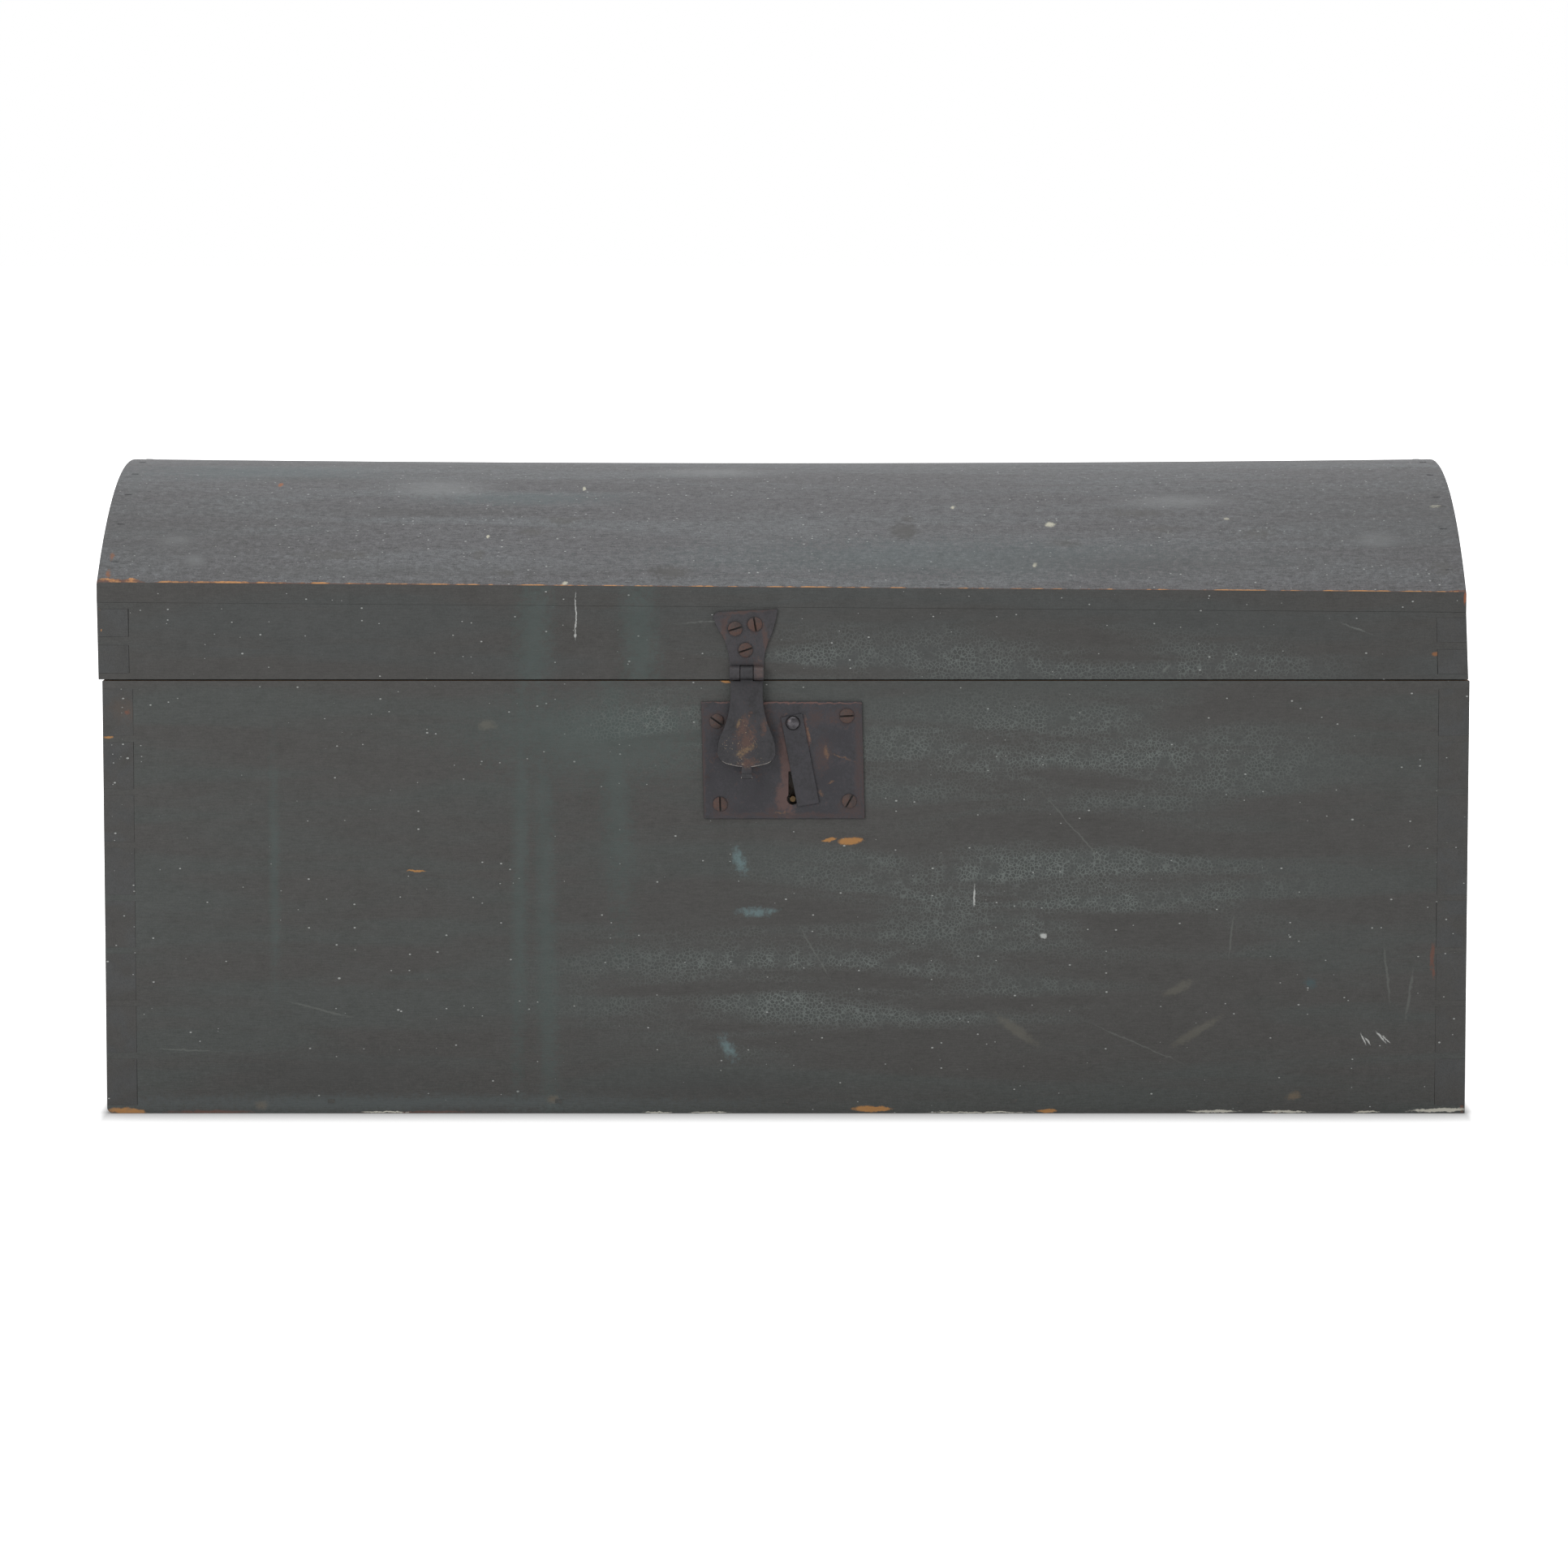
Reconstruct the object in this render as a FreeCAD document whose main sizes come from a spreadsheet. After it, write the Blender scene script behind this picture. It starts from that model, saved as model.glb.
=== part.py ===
import FreeCAD, Part
import math
import operator
import os
import Sketcher

# Dome top trunk in painted pine, about 36 x 17 x 17 inches.
#
# The case is a dovetailed box: the front and back boards carry narrow pins and the end boards carry
# wide tails, so the ends of the tails show on the front and the back. Two bottom boards lie inside it,
# nailed through the walls. The lid is a shallow dovetailed frame whose two ends rise to an arch, with
# five coopered staves nailed over it. Two iron butt hinges are let into the back edges, whose bevels
# meet and stop the lid just past upright. On the front hang a pear-shaped hasp and a keyhole cover,
# over a plate lock whose bolt passes through the hasp's staple. Each end has an iron bail handle.
#
# Millimetres. X runs along the trunk, Y from front to back, Z up. The origin is on the floor, under
# the middle of the case.

doc = FreeCAD.newDocument("dome_top_trunk")


# ---------------------------------------------------------------------------------------------------
# The sheet of driving sizes
# ---------------------------------------------------------------------------------------------------

DRIVING_SIZES = [
    # alias, value, what it is
    ("trunk_length", 914, "length of case and lid over the end boards"),
    ("trunk_depth", 432, "depth of case and lid over the front and back boards"),
    ("case_height", 292, "height of the case walls"),
    ("board", 20.5, "thickness of every wall board"),
    ("bottom_board", 16.5, "thickness of the bottom boards"),
    ("parting_gap", 0.8, "gap between case and lid when shut"),
    ("case_tails", 8, "dovetails at each corner of the case"),
    ("case_pin", 4.2, "width of a pin of the case on the outer face"),
    ("case_half_pin", 5.5, "width of the half pins at the top and foot of the case"),
    ("lid_tails", 2, "dovetails at each corner of the lid"),
    ("lid_pin", 5.2, "width of the pin of the lid on the outer face"),
    ("lid_half_pin", 4.0, "width of the lid's half pins"),
    ("tail_slope", 6, "a tail spreads by one in this many"),
    ("lid_wall", 48.4, "height of the lid's front and back boards on the outer face"),
    ("dome_rise", 76, "height of the dome above its front arris"),
    ("stave_thickness", 10.4, "thickness of the staves"),
    ("brad_long", 4.6, "longer side of a cut brad"),
    ("brad_wide", 2.8, "shorter side of a cut brad"),
    ("brad_length", 38, "length of the brads in the bottom and in the lid's ends"),
    ("short_brad_length", 16, "length of the brads along the dome's edges"),
    ("nail_proud", 0.3, "how far brads and nails stand above what they hold"),
    ("bottom_nail_pitch", 153, "spacing of the bottom nails along the front and back"),
    ("bottom_nails_long", 5, "bottom nails along the front, and along the back"),
    ("end_nail_pitch", 100, "spacing of the bottom nails along an end"),
    ("bottom_nails_short", 4, "bottom nails along each end"),
    ("edge_nail_pitch", 210, "spacing of the nails along the dome's front and back edges"),
    ("edge_nails", 4, "nails along each of those edges"),
    ("hinge_inset", 6, "hinge axis in front of the back face, and width of the bevel there"),
    ("bevel_angle", 98, "opening at which the two bevels lie parallel; they meet 3 degrees past it"),
    ("hinge_spacing", 540, "distance between the middles of the two hinges"),
    ("hinge_length", 76, "length of a butt hinge along its pin"),
    ("hinge_leaf", 1.8, "thickness of a hinge leaf"),
    ("hinge_leaf_depth", 13.5, "depth of a leaf from the hinge axis"),
    ("hinge_barrel", 4.0, "radius of a hinge barrel"),
    ("hinge_pin", 1.6, "radius of a hinge pin"),
    ("pin_fit", 0.05, "radial running clearance of pins in their bores"),
    ("knuckle_gap", 0.3, "gap between neighbouring knuckles and round a turning barrel"),
    ("hinge_screw_pitch", 27, "spacing of a leaf's three screws"),
    ("flat_head", 3.2, "head radius of a hinge screw"),
    ("flat_shank", 1.7, "shank radius of a hinge screw"),
    ("flat_length", 16, "length of a hinge screw"),
    ("round_head", 4.9, "head radius of a round-headed screw"),
    ("round_dome", 1.9, "height of a round head"),
    ("round_crown", 3.4, "radius of a round head's crown"),
    ("round_shank", 2.0, "shank radius of a round-headed screw"),
    ("round_length", 15, "length of a round-headed screw under its head"),
    ("head_rim", 0.2, "thickness of a screw head at its rim"),
    ("slot_width", 1.1, "width of a screwdriver slot"),
    ("slot_depth", 1.0, "depth of a screwdriver slot"),
    ("hasp_middle", -26.2, "middle of the hasp along the trunk"),
    ("hasp_barrel", 4.8, "radius of the hasp's barrel"),
    ("hasp_barrel_rise", 5.0, "hasp pivot above the middle of the parting gap"),
    ("hasp_pin", 2.2, "radius of the hasp's pin"),
    ("hasp_knuckle", 8.6, "length of the middle knuckle, which belongs to the hasp"),
    ("leaf_thickness", 2.0, "thickness of the hasp's leaf"),
    ("leaf_foot_half", 11.4, "half width of the leaf's foot and barrel"),
    ("leaf_waist_half", 16.3, "half width of the leaf where it starts to flare"),
    ("leaf_waist_height", 25.0, "height of that place above the pivot"),
    ("leaf_top_half", 21.6, "half width of the leaf's top"),
    ("leaf_lean", 1.0, "how far the leaf's top lies to the left of its foot"),
    ("leaf_left_height", 37.8, "height of the leaf's left shoulder above the pivot"),
    ("leaf_right_height", 42.6, "height of the leaf's right corner above the pivot"),
    ("leaf_clip", 3.0, "clipped corner at the leaf's left shoulder"),
    ("leaf_waist_bow", 1.2, "how far the leaf's sides bow in below the waist"),
    ("leaf_flare_bow", 0.6, "how far the leaf's sides bow out above the waist"),
    ("strap_thickness", 2.2, "thickness of the hasp's strap"),
    ("strap_standoff", 1.2, "gap between the seated strap and the lock plate"),
    ("strap_neck_half", 10.9, "half width of the strap's neck"),
    ("strap_neck_drop", 11, "end of the straight neck below the pivot"),
    ("pear_shoulder_half", 16.6, "half width of the pear where its flare turns round"),
    ("pear_shoulder_drop", 40, "drop of that place below the pivot"),
    ("pear_half", 19.4, "half width of the pear near its foot"),
    ("pear_half_drop", 54, "drop of the widest place below the pivot"),
    ("pear_corner_half", 12.6, "half width where the pear's round corner ends"),
    ("pear_corner_drop", 61.0, "drop of that place below the pivot"),
    ("pear_foot_drop", 62.9, "drop of the pear's foot below the pivot"),
    ("neck_bow", 1.8, "how far the strap's neck bows in"),
    ("shoulder_bow", 0.75, "how far the pear's shoulder bows out"),
    ("corner_bow", 1.5, "how far the pear's corner bows out"),
    ("foot_bow", 0.18, "how far the pear's foot bows out"),
    ("tab_half", 3.4, "half width of the lift tab"),
    ("tab_drop", 69.2, "drop of the lift tab's rolled end below the pivot"),
    ("tab_end_half", 3.8, "half width of the lift tab's rolled end"),
    ("tab_roll", 1.7, "radius of the lift tab's rolled end"),
    ("hasp_tilt", 11, "how far the unlocked hasp hangs out from its seat"),
    ("staple_drop", 47, "middle of the staple below the hasp's pivot"),
    ("staple_half", 4.5, "half height of the staple"),
    ("staple_bar", 1.6, "thickness of the staple's bars"),
    ("staple_width", 4.0, "width of the staple along the trunk"),
    ("lock_middle", -2.0, "middle of the lock plate along the trunk"),
    ("lock_plate_length", 107.6, "length of the lock plate"),
    ("lock_plate_height", 78.6, "height of the lock plate"),
    ("lock_plate_drop", 13.9, "top of the lock plate below the case's top edge"),
    ("lock_plate_lean", 1.0, "how far the plate's top is off to the left, and its foot to the right"),
    ("lock_plate_thick", 1.8, "thickness of the lock plate"),
    ("lock_case_length", 72, "length of the lock's iron case"),
    ("lock_case_height", 64, "height of the lock's iron case"),
    ("lock_case_depth", 12.5, "depth of the lock's iron case behind the plate"),
    ("lock_case_wall", 1.2, "wall of the lock's iron case"),
    ("bolt_thick", 2.5, "thickness of the lock's bolt"),
    ("bolt_behind_plate", 0.8, "gap between the bolt and the back of the plate"),
    ("bolt_half", 2.2, "half height of the bolt's bar"),
    ("bolt_clear", 0.6, "clearance of the bolt in the staple, and of the staple's slot"),
    ("bolt_throw", 8, "travel of the bolt"),
    ("bolt_tail_half", 10, "half length of the bolt's tail"),
    ("talon_half", 3, "half width of the notch that the key turns in"),
    ("talon_depth", 5, "depth of that notch"),
    ("spring_thick", 0.9, "thickness of the bolt's spring"),
    ("spring_flat", 6, "half length of the spring's flat middle, which presses on the bolt"),
    ("spring_sag", 0.3, "gap between the spring and the drawn bolt"),
    ("keyhole_side", 4.6, "keyhole and cover rivet along the trunk"),
    ("keyhole_drop", 79.2, "keyhole's eye below the case's top edge"),
    ("keyhole_eye", 3.8, "radius of the keyhole's eye"),
    ("keyhole_half", 2.8, "half width of the keyhole's slot"),
    ("keyhole_rise", 18.4, "top of the keyhole's slot above its eye"),
    ("key_post", 1.9, "radius of the post that a pipe key fits over"),
    ("cover_half", 7.4, "half width of the keyhole cover"),
    ("cover_thick", 1.5, "thickness of the keyhole cover"),
    ("cover_gap", 0.3, "running gap before and behind the cover"),
    ("cover_top", 5.0, "cover above its rivet"),
    ("cover_foot", 56, "cover below its rivet"),
    ("cover_tilt", 10.8, "how far the cover hangs aside"),
    ("rivet_drop", 28.0, "cover rivet below the case's top edge"),
    ("rivet_head", 4.9, "head radius of the cover rivet"),
    ("rivet_crown", 2.7, "radius of the rivet head's crown"),
    ("rivet_dome", 3.0, "height of the rivet's head"),
    ("rivet_shank", 2.0, "shank radius of the cover rivet"),
    ("handle_height", 176, "height of the bail handles' pivots"),
    ("handle_span", 110, "distance between the two ears of a handle"),
    ("handle_standoff", 10, "handle pivot out from the end board"),
    ("bail_bar", 7, "width and thickness of the bail's forged bar"),
    ("bail_swell", 1.9, "how far the grip swells above and below at its middle"),
    ("bail_swell_half", 12, "half length of the grip's swollen middle"),
    ("bail_pin", 3.2, "radius of the bail's pins"),
    ("bail_side_gap", 0.8, "gap between a bail's arm and its ear"),
    ("bail_pin_past", 3, "how far a bail's pin reaches past its ear"),
    ("bail_corner", 18, "bend radius at the bail's grip"),
    ("bail_drop", 56, "drop of the grip below the pivot"),
    ("ear_thick", 6, "thickness of an ear"),
    ("ear_round", 7, "radius of an ear's rounded end"),
    ("mount_half", 10, "half width of a handle's mounting plate"),
    ("mount_height", 48, "height of a handle's mounting plate"),
    ("mount_thick", 2.4, "thickness of a handle's mounting plate"),
    ("mount_nail_up", 18, "handle nails above and below the pivot"),
    ("mount_nail_length", 20, "length of a handle's nails"),
    ("mount_nail_side", 2.8, "thickness of a handle's nails"),
    ("mount_nail_head", 7, "width of a handle nail's head"),
    ("mount_nail_head_thick", 1.6, "thickness of a handle nail's head"),
]
STAVE_COUNT = 5
HINGE_KNUCKLES = 3
ROUND_SIDES = 8  # screws, the rivet, and the bores that pins turn in are modelled eight-sided

sheet = doc.addObject("Spreadsheet::Sheet", "sizes")
for row_number, (alias, value, meaning) in enumerate(DRIVING_SIZES, start=1):
    sheet.set(f"A{row_number}", meaning)
    sheet.set(f"B{row_number}", str(value))
    sheet.setAlias(f"B{row_number}", alias)
doc.recompute()


class Size:
    """A number, with the expression that works it out again from the sheet."""

    def __init__(self, number, text):
        self.number = number
        self.text = text

    def __add__(self, other):
        return worked_out(self, "+", other)

    def __radd__(self, other):
        return worked_out(other, "+", self)

    def __sub__(self, other):
        return worked_out(self, "-", other)

    def __rsub__(self, other):
        return worked_out(other, "-", self)

    def __mul__(self, other):
        return worked_out(self, "*", other)

    def __rmul__(self, other):
        return worked_out(other, "*", self)

    def __truediv__(self, other):
        return worked_out(self, "/", other)

    def __neg__(self):
        return worked_out(0, "-", self)


OPERATIONS = {"+": operator.add, "-": operator.sub, "*": operator.mul, "/": operator.truediv}


def as_size(value):
    return value if isinstance(value, Size) else Size(value, f"({value})")


def worked_out(left, sign, right):
    left, right = as_size(left), as_size(right)
    return Size(OPERATIONS[sign](left.number, right.number), f"({left.text} {sign} {right.text})")


def square_root(value):
    return Size(math.sqrt(value.number), f"sqrt({value.text})")


def sine(angle):
    return Size(math.sin(math.radians(angle.number)), f"sin({angle.text})")


def cosine(angle):
    return Size(math.cos(math.radians(angle.number)), f"cos({angle.text})")


def angle_of_sine(ratio):
    return Size(math.degrees(math.asin(ratio.number)), f"(asin({ratio.text}) / 1 deg)")


def read(alias):
    return Size(float(sheet.get(alias)), f"sizes.{alias}")


def bind(item, path, value):
    item.setExpression(path, as_size(value).text)


# ---------------------------------------------------------------------------------------------------
# Bodies, sketches and features
# ---------------------------------------------------------------------------------------------------

NORMAL_SIDE = {"XY": 1, "XZ": -1, "YZ": 1}  # which way a plane's normal points along its own axis


def new_body(label, x=0, y=0, z=0, turn_axis=None, turn=0):
    """An empty body whose own origin is at x, y, z, turned about an axis through that origin."""
    body = doc.addObject("PartDesign::Body", label)
    body.Label = label
    if turn_axis:
        turned = FreeCAD.Rotation(FreeCAD.Vector(*turn_axis), as_size(turn).number)
        body.Placement = FreeCAD.Placement(FreeCAD.Vector(), turned)
        bind(body, "Placement.Rotation.Angle", turn)
    for axis, value in zip("xyz", (x, y, z)):
        bind(body, f"Placement.Base.{axis}", value)
    return body


def origin_feature(body, role):
    return next(feature for feature in body.Origin.OriginFeatures if feature.Role == role)


def new_sketch(body, plane, at):
    """A sketch on one of the body's planes, `at` along that plane's axis."""
    sketch = body.newObject("Sketcher::SketchObject", "sketch")
    sketch.AttachmentSupport = [(origin_feature(body, plane + "_Plane"), "")]
    sketch.MapMode = "FlatFace"
    bind(sketch, "AttachmentOffset.Base.z", NORMAL_SIDE[plane] * as_size(at))
    return sketch


def lock(sketch, kind, geometry, point, value):
    number = as_size(value).number
    if kind == "Radius":
        index = sketch.addConstraint(Sketcher.Constraint(kind, geometry, number))
    else:
        index = sketch.addConstraint(Sketcher.Constraint(kind, -1, 1, geometry, point, number))
    bind(sketch, f"Constraints[{index}]", value)


def arc_through(start, end, radius):
    """The short arc that runs anticlockwise from start to end."""
    chord = end - start
    half = chord.Length / 2
    height = radius - math.sqrt(max(radius * radius - half * half, 0))
    outward = FreeCAD.Vector(chord.y, -chord.x, 0) / chord.Length
    return Part.Arc(start, start + chord / 2 + outward * height, end)


def draw_outline(sketch, corners, closed=True):
    """Straight edges and arcs through the corners. A corner is (u, v), or (u, v, radius) where an arc
    goes on to the next corner: it turns anticlockwise, or clockwise for a radius below zero."""
    first = sketch.GeometryCount
    points = [FreeCAD.Vector(as_size(c[0]).number, as_size(c[1]).number, 0) for c in corners]
    edges = len(corners) if closed else len(corners) - 1
    ends = []
    for index in range(edges):
        start, end = points[index], points[(index + 1) % len(points)]
        radius = as_size(corners[index][2]).number if len(corners[index]) == 3 else 0
        if radius > 0:
            sketch.addGeometry(arc_through(start, end, radius), False)
        elif radius < 0:
            sketch.addGeometry(arc_through(end, start, -radius), False)
        else:
            sketch.addGeometry(Part.LineSegment(start, end), False)
        ends.append((2, 1) if radius < 0 else (1, 2))
    for index in range(edges):
        follower = (index + 1) % edges
        if closed or follower:
            sketch.addConstraint(
                Sketcher.Constraint(
                    "Coincident", first + index, ends[index][1], first + follower, ends[follower][0]
                )
            )
        lock(sketch, "DistanceX", first + index, ends[index][0], corners[index][0])
        lock(sketch, "DistanceY", first + index, ends[index][0], corners[index][1])
        if len(corners[index]) == 3:
            radius = as_size(corners[index][2])
            lock(sketch, "Radius", first + index, None, radius if radius.number > 0 else -radius)
    if not closed:
        lock(sketch, "DistanceX", first + edges - 1, ends[-1][1], corners[-1][0])
        lock(sketch, "DistanceY", first + edges - 1, ends[-1][1], corners[-1][1])


def bowed(start, end, bow):
    """The corner at `start`, with the arc to `end` whose middle stands `bow` off the straight line.
    It turns anticlockwise, or clockwise for a bow below zero."""
    along, up = as_size(end[0]) - start[0], as_size(end[1]) - start[1]
    return (start[0], start[1], (along * along + up * up) / (8 * bow) + bow / 2)


def draw_circle(sketch, u, v, radius):
    centre = FreeCAD.Vector(as_size(u).number, as_size(v).number, 0)
    circle = Part.Circle(centre, FreeCAD.Vector(0, 0, 1), as_size(radius).number)
    index = sketch.addGeometry(circle, False)
    lock(sketch, "DistanceX", index, 3, u)
    lock(sketch, "DistanceY", index, 3, v)
    lock(sketch, "Radius", index, None, radius)


def block(low_u, high_u, low_v, high_v):
    """The four corners of a rectangle."""
    return [(low_u, low_v), (high_u, low_v), (high_u, high_v), (low_u, high_v)]


def extrude(body, plane, at, shapes, length, toward, cut=False):
    """Pads or pockets closed shapes from `at` on the plane's axis: toward +1 or -1 along that axis,
    or 0 for half each way. A shape is a list of corners, or (u, v, radius) for a circle. A cut with no
    length goes right through."""
    sketch = new_sketch(body, plane, at)
    for shape in shapes:
        if isinstance(shape, list):
            draw_outline(sketch, shape)
        else:
            draw_circle(sketch, *shape)
    feature = body.newObject("PartDesign::Pocket" if cut else "PartDesign::Pad", "cut" if cut else "pad")
    feature.Profile = sketch
    if length is None:
        feature.Type = "ThroughAll"
    else:
        bind(feature, "Length", length)
    if toward == 0:
        feature.SideType = "Symmetric"
    else:
        along_normal = toward * NORMAL_SIDE[plane] > 0
        feature.Reversed = along_normal if cut else not along_normal
    body.Tip = feature
    return feature


def repeat(body, features, axis, pitch, count):
    """A row of the features along one of the body's axes."""
    pattern = body.newObject("PartDesign::LinearPattern", "row")
    pattern.Originals = features
    pattern.Direction = (origin_feature(body, axis + "_Axis"), [""])
    bind(pattern, "Length", pitch * (count - 1))
    bind(pattern, "Occurrences", count)
    body.Tip = pattern


def mirror(body, features, plane):
    mirrored = body.newObject("PartDesign::Mirrored", "mirrored")
    mirrored.Originals = features
    mirrored.MirrorPlane = (origin_feature(body, plane + "_Plane"), [""])
    body.Tip = mirrored


nodes = []


def keep(item):
    """Marks a finished piece, which is written to a file of its own."""
    nodes.append(item)
    return item


def group(label, items):
    """Several like pieces as one object."""
    together = doc.addObject("Part::Compound", label)
    together.Label = label
    together.Links = items
    return together


def cut_by(label, blank, tools):
    """The blank less what is let into it or driven through it."""
    tool = tools[0] if len(tools) == 1 else group(label + "_tools", tools)
    finished = doc.addObject("Part::Cut", label)
    finished.Label = label
    finished.Base = blank
    finished.Tool = tool
    return finished


# ---------------------------------------------------------------------------------------------------
# Sizes that are worked out from the sheet
# ---------------------------------------------------------------------------------------------------

length = read("trunk_length")
board = read("board")
case_height = read("case_height")
half_length = length / 2
half_depth = read("trunk_depth") / 2
inner_half_length = half_length - board
inner_half_depth = half_depth - board

parting_gap = read("parting_gap")
lid_base = case_height + parting_gap
parting = case_height + parting_gap / 2

dome_rise = read("dome_rise")
lid_wall = read("lid_wall")
dome_radius = (half_depth * half_depth + dome_rise * dome_rise) / (2 * dome_rise)
stave_radius = dome_radius - read("stave_thickness")
dome_centre = lid_base + lid_wall - square_root(stave_radius * stave_radius - half_depth * half_depth)
arch_top = dome_centre + square_root(stave_radius * stave_radius - inner_half_depth * inner_half_depth)
dome_half_angle = angle_of_sine(half_depth / dome_radius)
stave_angle = 2 * dome_half_angle / STAVE_COUNT

hinge_inset = read("hinge_inset")
bevel_slope = read("bevel_angle") / 2
bevel_drop = hinge_inset * sine(bevel_slope) / cosine(bevel_slope)


# ---------------------------------------------------------------------------------------------------
# Cut brads: rectangular nails of one thickness, with no wider head
# ---------------------------------------------------------------------------------------------------

nail_proud = read("nail_proud")


def drive(body, plane, u, v, face, inward, wide, high, long):
    """One rectangular nail driven through a face, which lies at `face` on the plane's axis."""
    shank = block(u - wide / 2, u + wide / 2, v - high / 2, v + high / 2)
    return extrude(body, plane, face - inward * nail_proud, [shank], long, inward)


def drive_brad(body, plane, u, v, face, inward, long):
    return drive(body, plane, u, v, face, inward, read("brad_long"), read("brad_wide"), long)


def nail_row(label, plane, axis, face, inward, height, pitch, count):
    """A row of nails along X or Y, centred on the trunk's middle, through one wall of the case."""
    body = new_body(label)
    first = -pitch * (count - 1) / 2
    brad = drive_brad(body, plane, first, height, face, inward, read("brad_length"))
    repeat(body, [brad], axis, pitch, count)
    return body


bottom_nail_height = read("bottom_board") / 2
long_row = (bottom_nail_height, read("bottom_nail_pitch"), read("bottom_nails_long"))
short_row = (bottom_nail_height, read("end_nail_pitch"), read("bottom_nails_short"))
bottom_nails = keep(
    group(
        "bottom_nails",
        [
            nail_row("front_bottom_nails", "XZ", "X", -half_depth, 1, *long_row),
            nail_row("back_bottom_nails", "XZ", "X", half_depth, -1, *long_row),
            nail_row("left_bottom_nails", "YZ", "Y", -half_length, 1, *short_row),
            nail_row("right_bottom_nails", "YZ", "Y", half_length, -1, *short_row),
        ],
    )
)


def radial_nails(label, angle, x, pitch, count, long):
    """A row of nails along X, driven through the dome towards the middle of its arc."""
    body = new_body(label, 0, 0, dome_centre, (1, 0, 0), angle)
    brad = drive_brad(body, "XY", x, 0, dome_radius, -1, long)
    repeat(body, [brad], "X", pitch, count)
    return body


stave_nail_rows = []
for index in range(2 * STAVE_COUNT):
    from_front = stave_angle * (index + 0.5) / 2
    stave_nail_rows.append(
        radial_nails(
            f"end_nails_{index + 1}",
            dome_half_angle - from_front,
            board / 2 - half_length,
            length - board,
            as_size(2),
            read("brad_length"),
        )
    )
edge_nail_angle = angle_of_sine((half_depth - board / 2) / stave_radius)
edge_pitch, edge_count = read("edge_nail_pitch"), read("edge_nails")
for name, angle in (("front", edge_nail_angle), ("back", -edge_nail_angle)):
    first_edge_nail = -edge_pitch * (edge_count - 1) / 2
    stave_nail_rows.append(
        radial_nails(
            f"{name}_edge_nails",
            angle,
            first_edge_nail,
            edge_pitch,
            edge_count,
            read("short_brad_length"),
        )
    )
stave_nails = keep(group("stave_nails", stave_nail_rows))


# ---------------------------------------------------------------------------------------------------
# Screws and the rivet: each lies along its own Y axis, head towards -Y and blunt end towards +Y
# ---------------------------------------------------------------------------------------------------


HALF_SIDE = math.pi / ROUND_SIDES  # half of what one side takes up of the full turn


def shank_ring(radius, u=0):
    """The corners of an eight-sided shank about (u, 0), which touch a circle of this radius."""
    turns = [HALF_SIDE * (2 * side + 1) for side in range(ROUND_SIDES)]
    return [(u + radius * math.cos(turn), radius * math.sin(turn)) for turn in turns]


def bore_ring(pin_radius, u=0):
    """The corners of a bore whose eight sides clear a pin of this radius by the running fit."""
    return shank_ring((pin_radius + read("pin_fit")) / math.cos(HALF_SIDE), u)


def tapered(body, foot, radius, height, far_radius, toward):
    """A screw's head, which is widest at y = foot and tapers from its rim, toward +1 or -1 along Y."""
    head = extrude(body, "XZ", foot, [shank_ring(radius)], height, toward)
    slope = body.newObject("PartDesign::Chamfer", "slope")
    slope.Base = (head, [f"Face{ROUND_SIDES + 2}"])  # a pad's sides come first, then its two ends
    slope.ChamferType = "Two distances"
    bind(slope, "Size", height - read("head_rim"))
    bind(slope, "Size2", (radius - far_radius) * math.cos(HALF_SIDE))
    body.Tip = slope


def flat_screw(label, x, y, z, turn):
    """A countersunk wood screw whose head is flush with the leaf that it holds."""
    body = new_body(label, x, y, z, (1, 0, 0), turn)
    head, shank, leaf = read("flat_head"), read("flat_shank"), read("hinge_leaf")
    tapered(body, 0, head, leaf, shank, 1)
    extrude(body, "XZ", leaf, [shank_ring(shank)], read("flat_length") - leaf, 1)
    return body


def round_screw(label, x, y, z, turn):
    """A round-headed wood screw, whose head narrows to its slotted crown."""
    body = new_body(label, x, y, z, (0, 1, 0), turn)
    head, dome = read("round_head"), read("round_dome")
    tapered(body, 0, head, dome, read("round_crown"), -1)
    extrude(body, "XZ", 0, [shank_ring(read("round_shank"))], read("round_length"), 1)
    half_slot = read("slot_width") / 2
    slot = block(-2 * head, 2 * head, -half_slot, half_slot)
    extrude(body, "XZ", -dome, [slot], read("slot_depth"), 1, cut=True)
    return body


# ---------------------------------------------------------------------------------------------------
# Dovetails
# ---------------------------------------------------------------------------------------------------


class Joinery:
    """The dovetails up one corner: where the first tail starts, its height, and the tails' pitch."""

    def __init__(self, foot, height, tails, pin, half_pin):
        self.count = tails
        self.first = foot + half_pin
        self.tail = (height - 2 * half_pin - pin * (tails - 1)) / tails
        self.pitch = self.tail + pin
        self.narrowing = board / read("tail_slope")

    def tail_shape(self, side):
        """A tail in the YZ plane: wide at the outer face, narrow at the shoulder."""
        low, high = self.first, self.first + self.tail
        outer, shoulder = side * half_depth, side * inner_half_depth
        return [
            (outer, low),
            (outer, high),
            (shoulder, high - self.narrowing),
            (shoulder, low + self.narrowing),
        ]


case_joints = Joinery(0, case_height, read("case_tails"), read("case_pin"), read("case_half_pin"))
lid_joints = Joinery(lid_base, lid_wall, read("lid_tails"), read("lid_pin"), read("lid_half_pin"))


def pin_board(label, side, profile, joints):
    """A front or back board: a profile run along the trunk, with sockets for the end boards' tails."""
    body = new_body(label)
    extrude(body, "YZ", 0, [profile], length, 0)
    for end in (-1, 1):
        socket = extrude(
            body, "YZ", end * inner_half_length, [joints.tail_shape(side)], board, end, cut=True
        )
        repeat(body, [socket], "Z", joints.pitch, joints.count)
    return body


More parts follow.
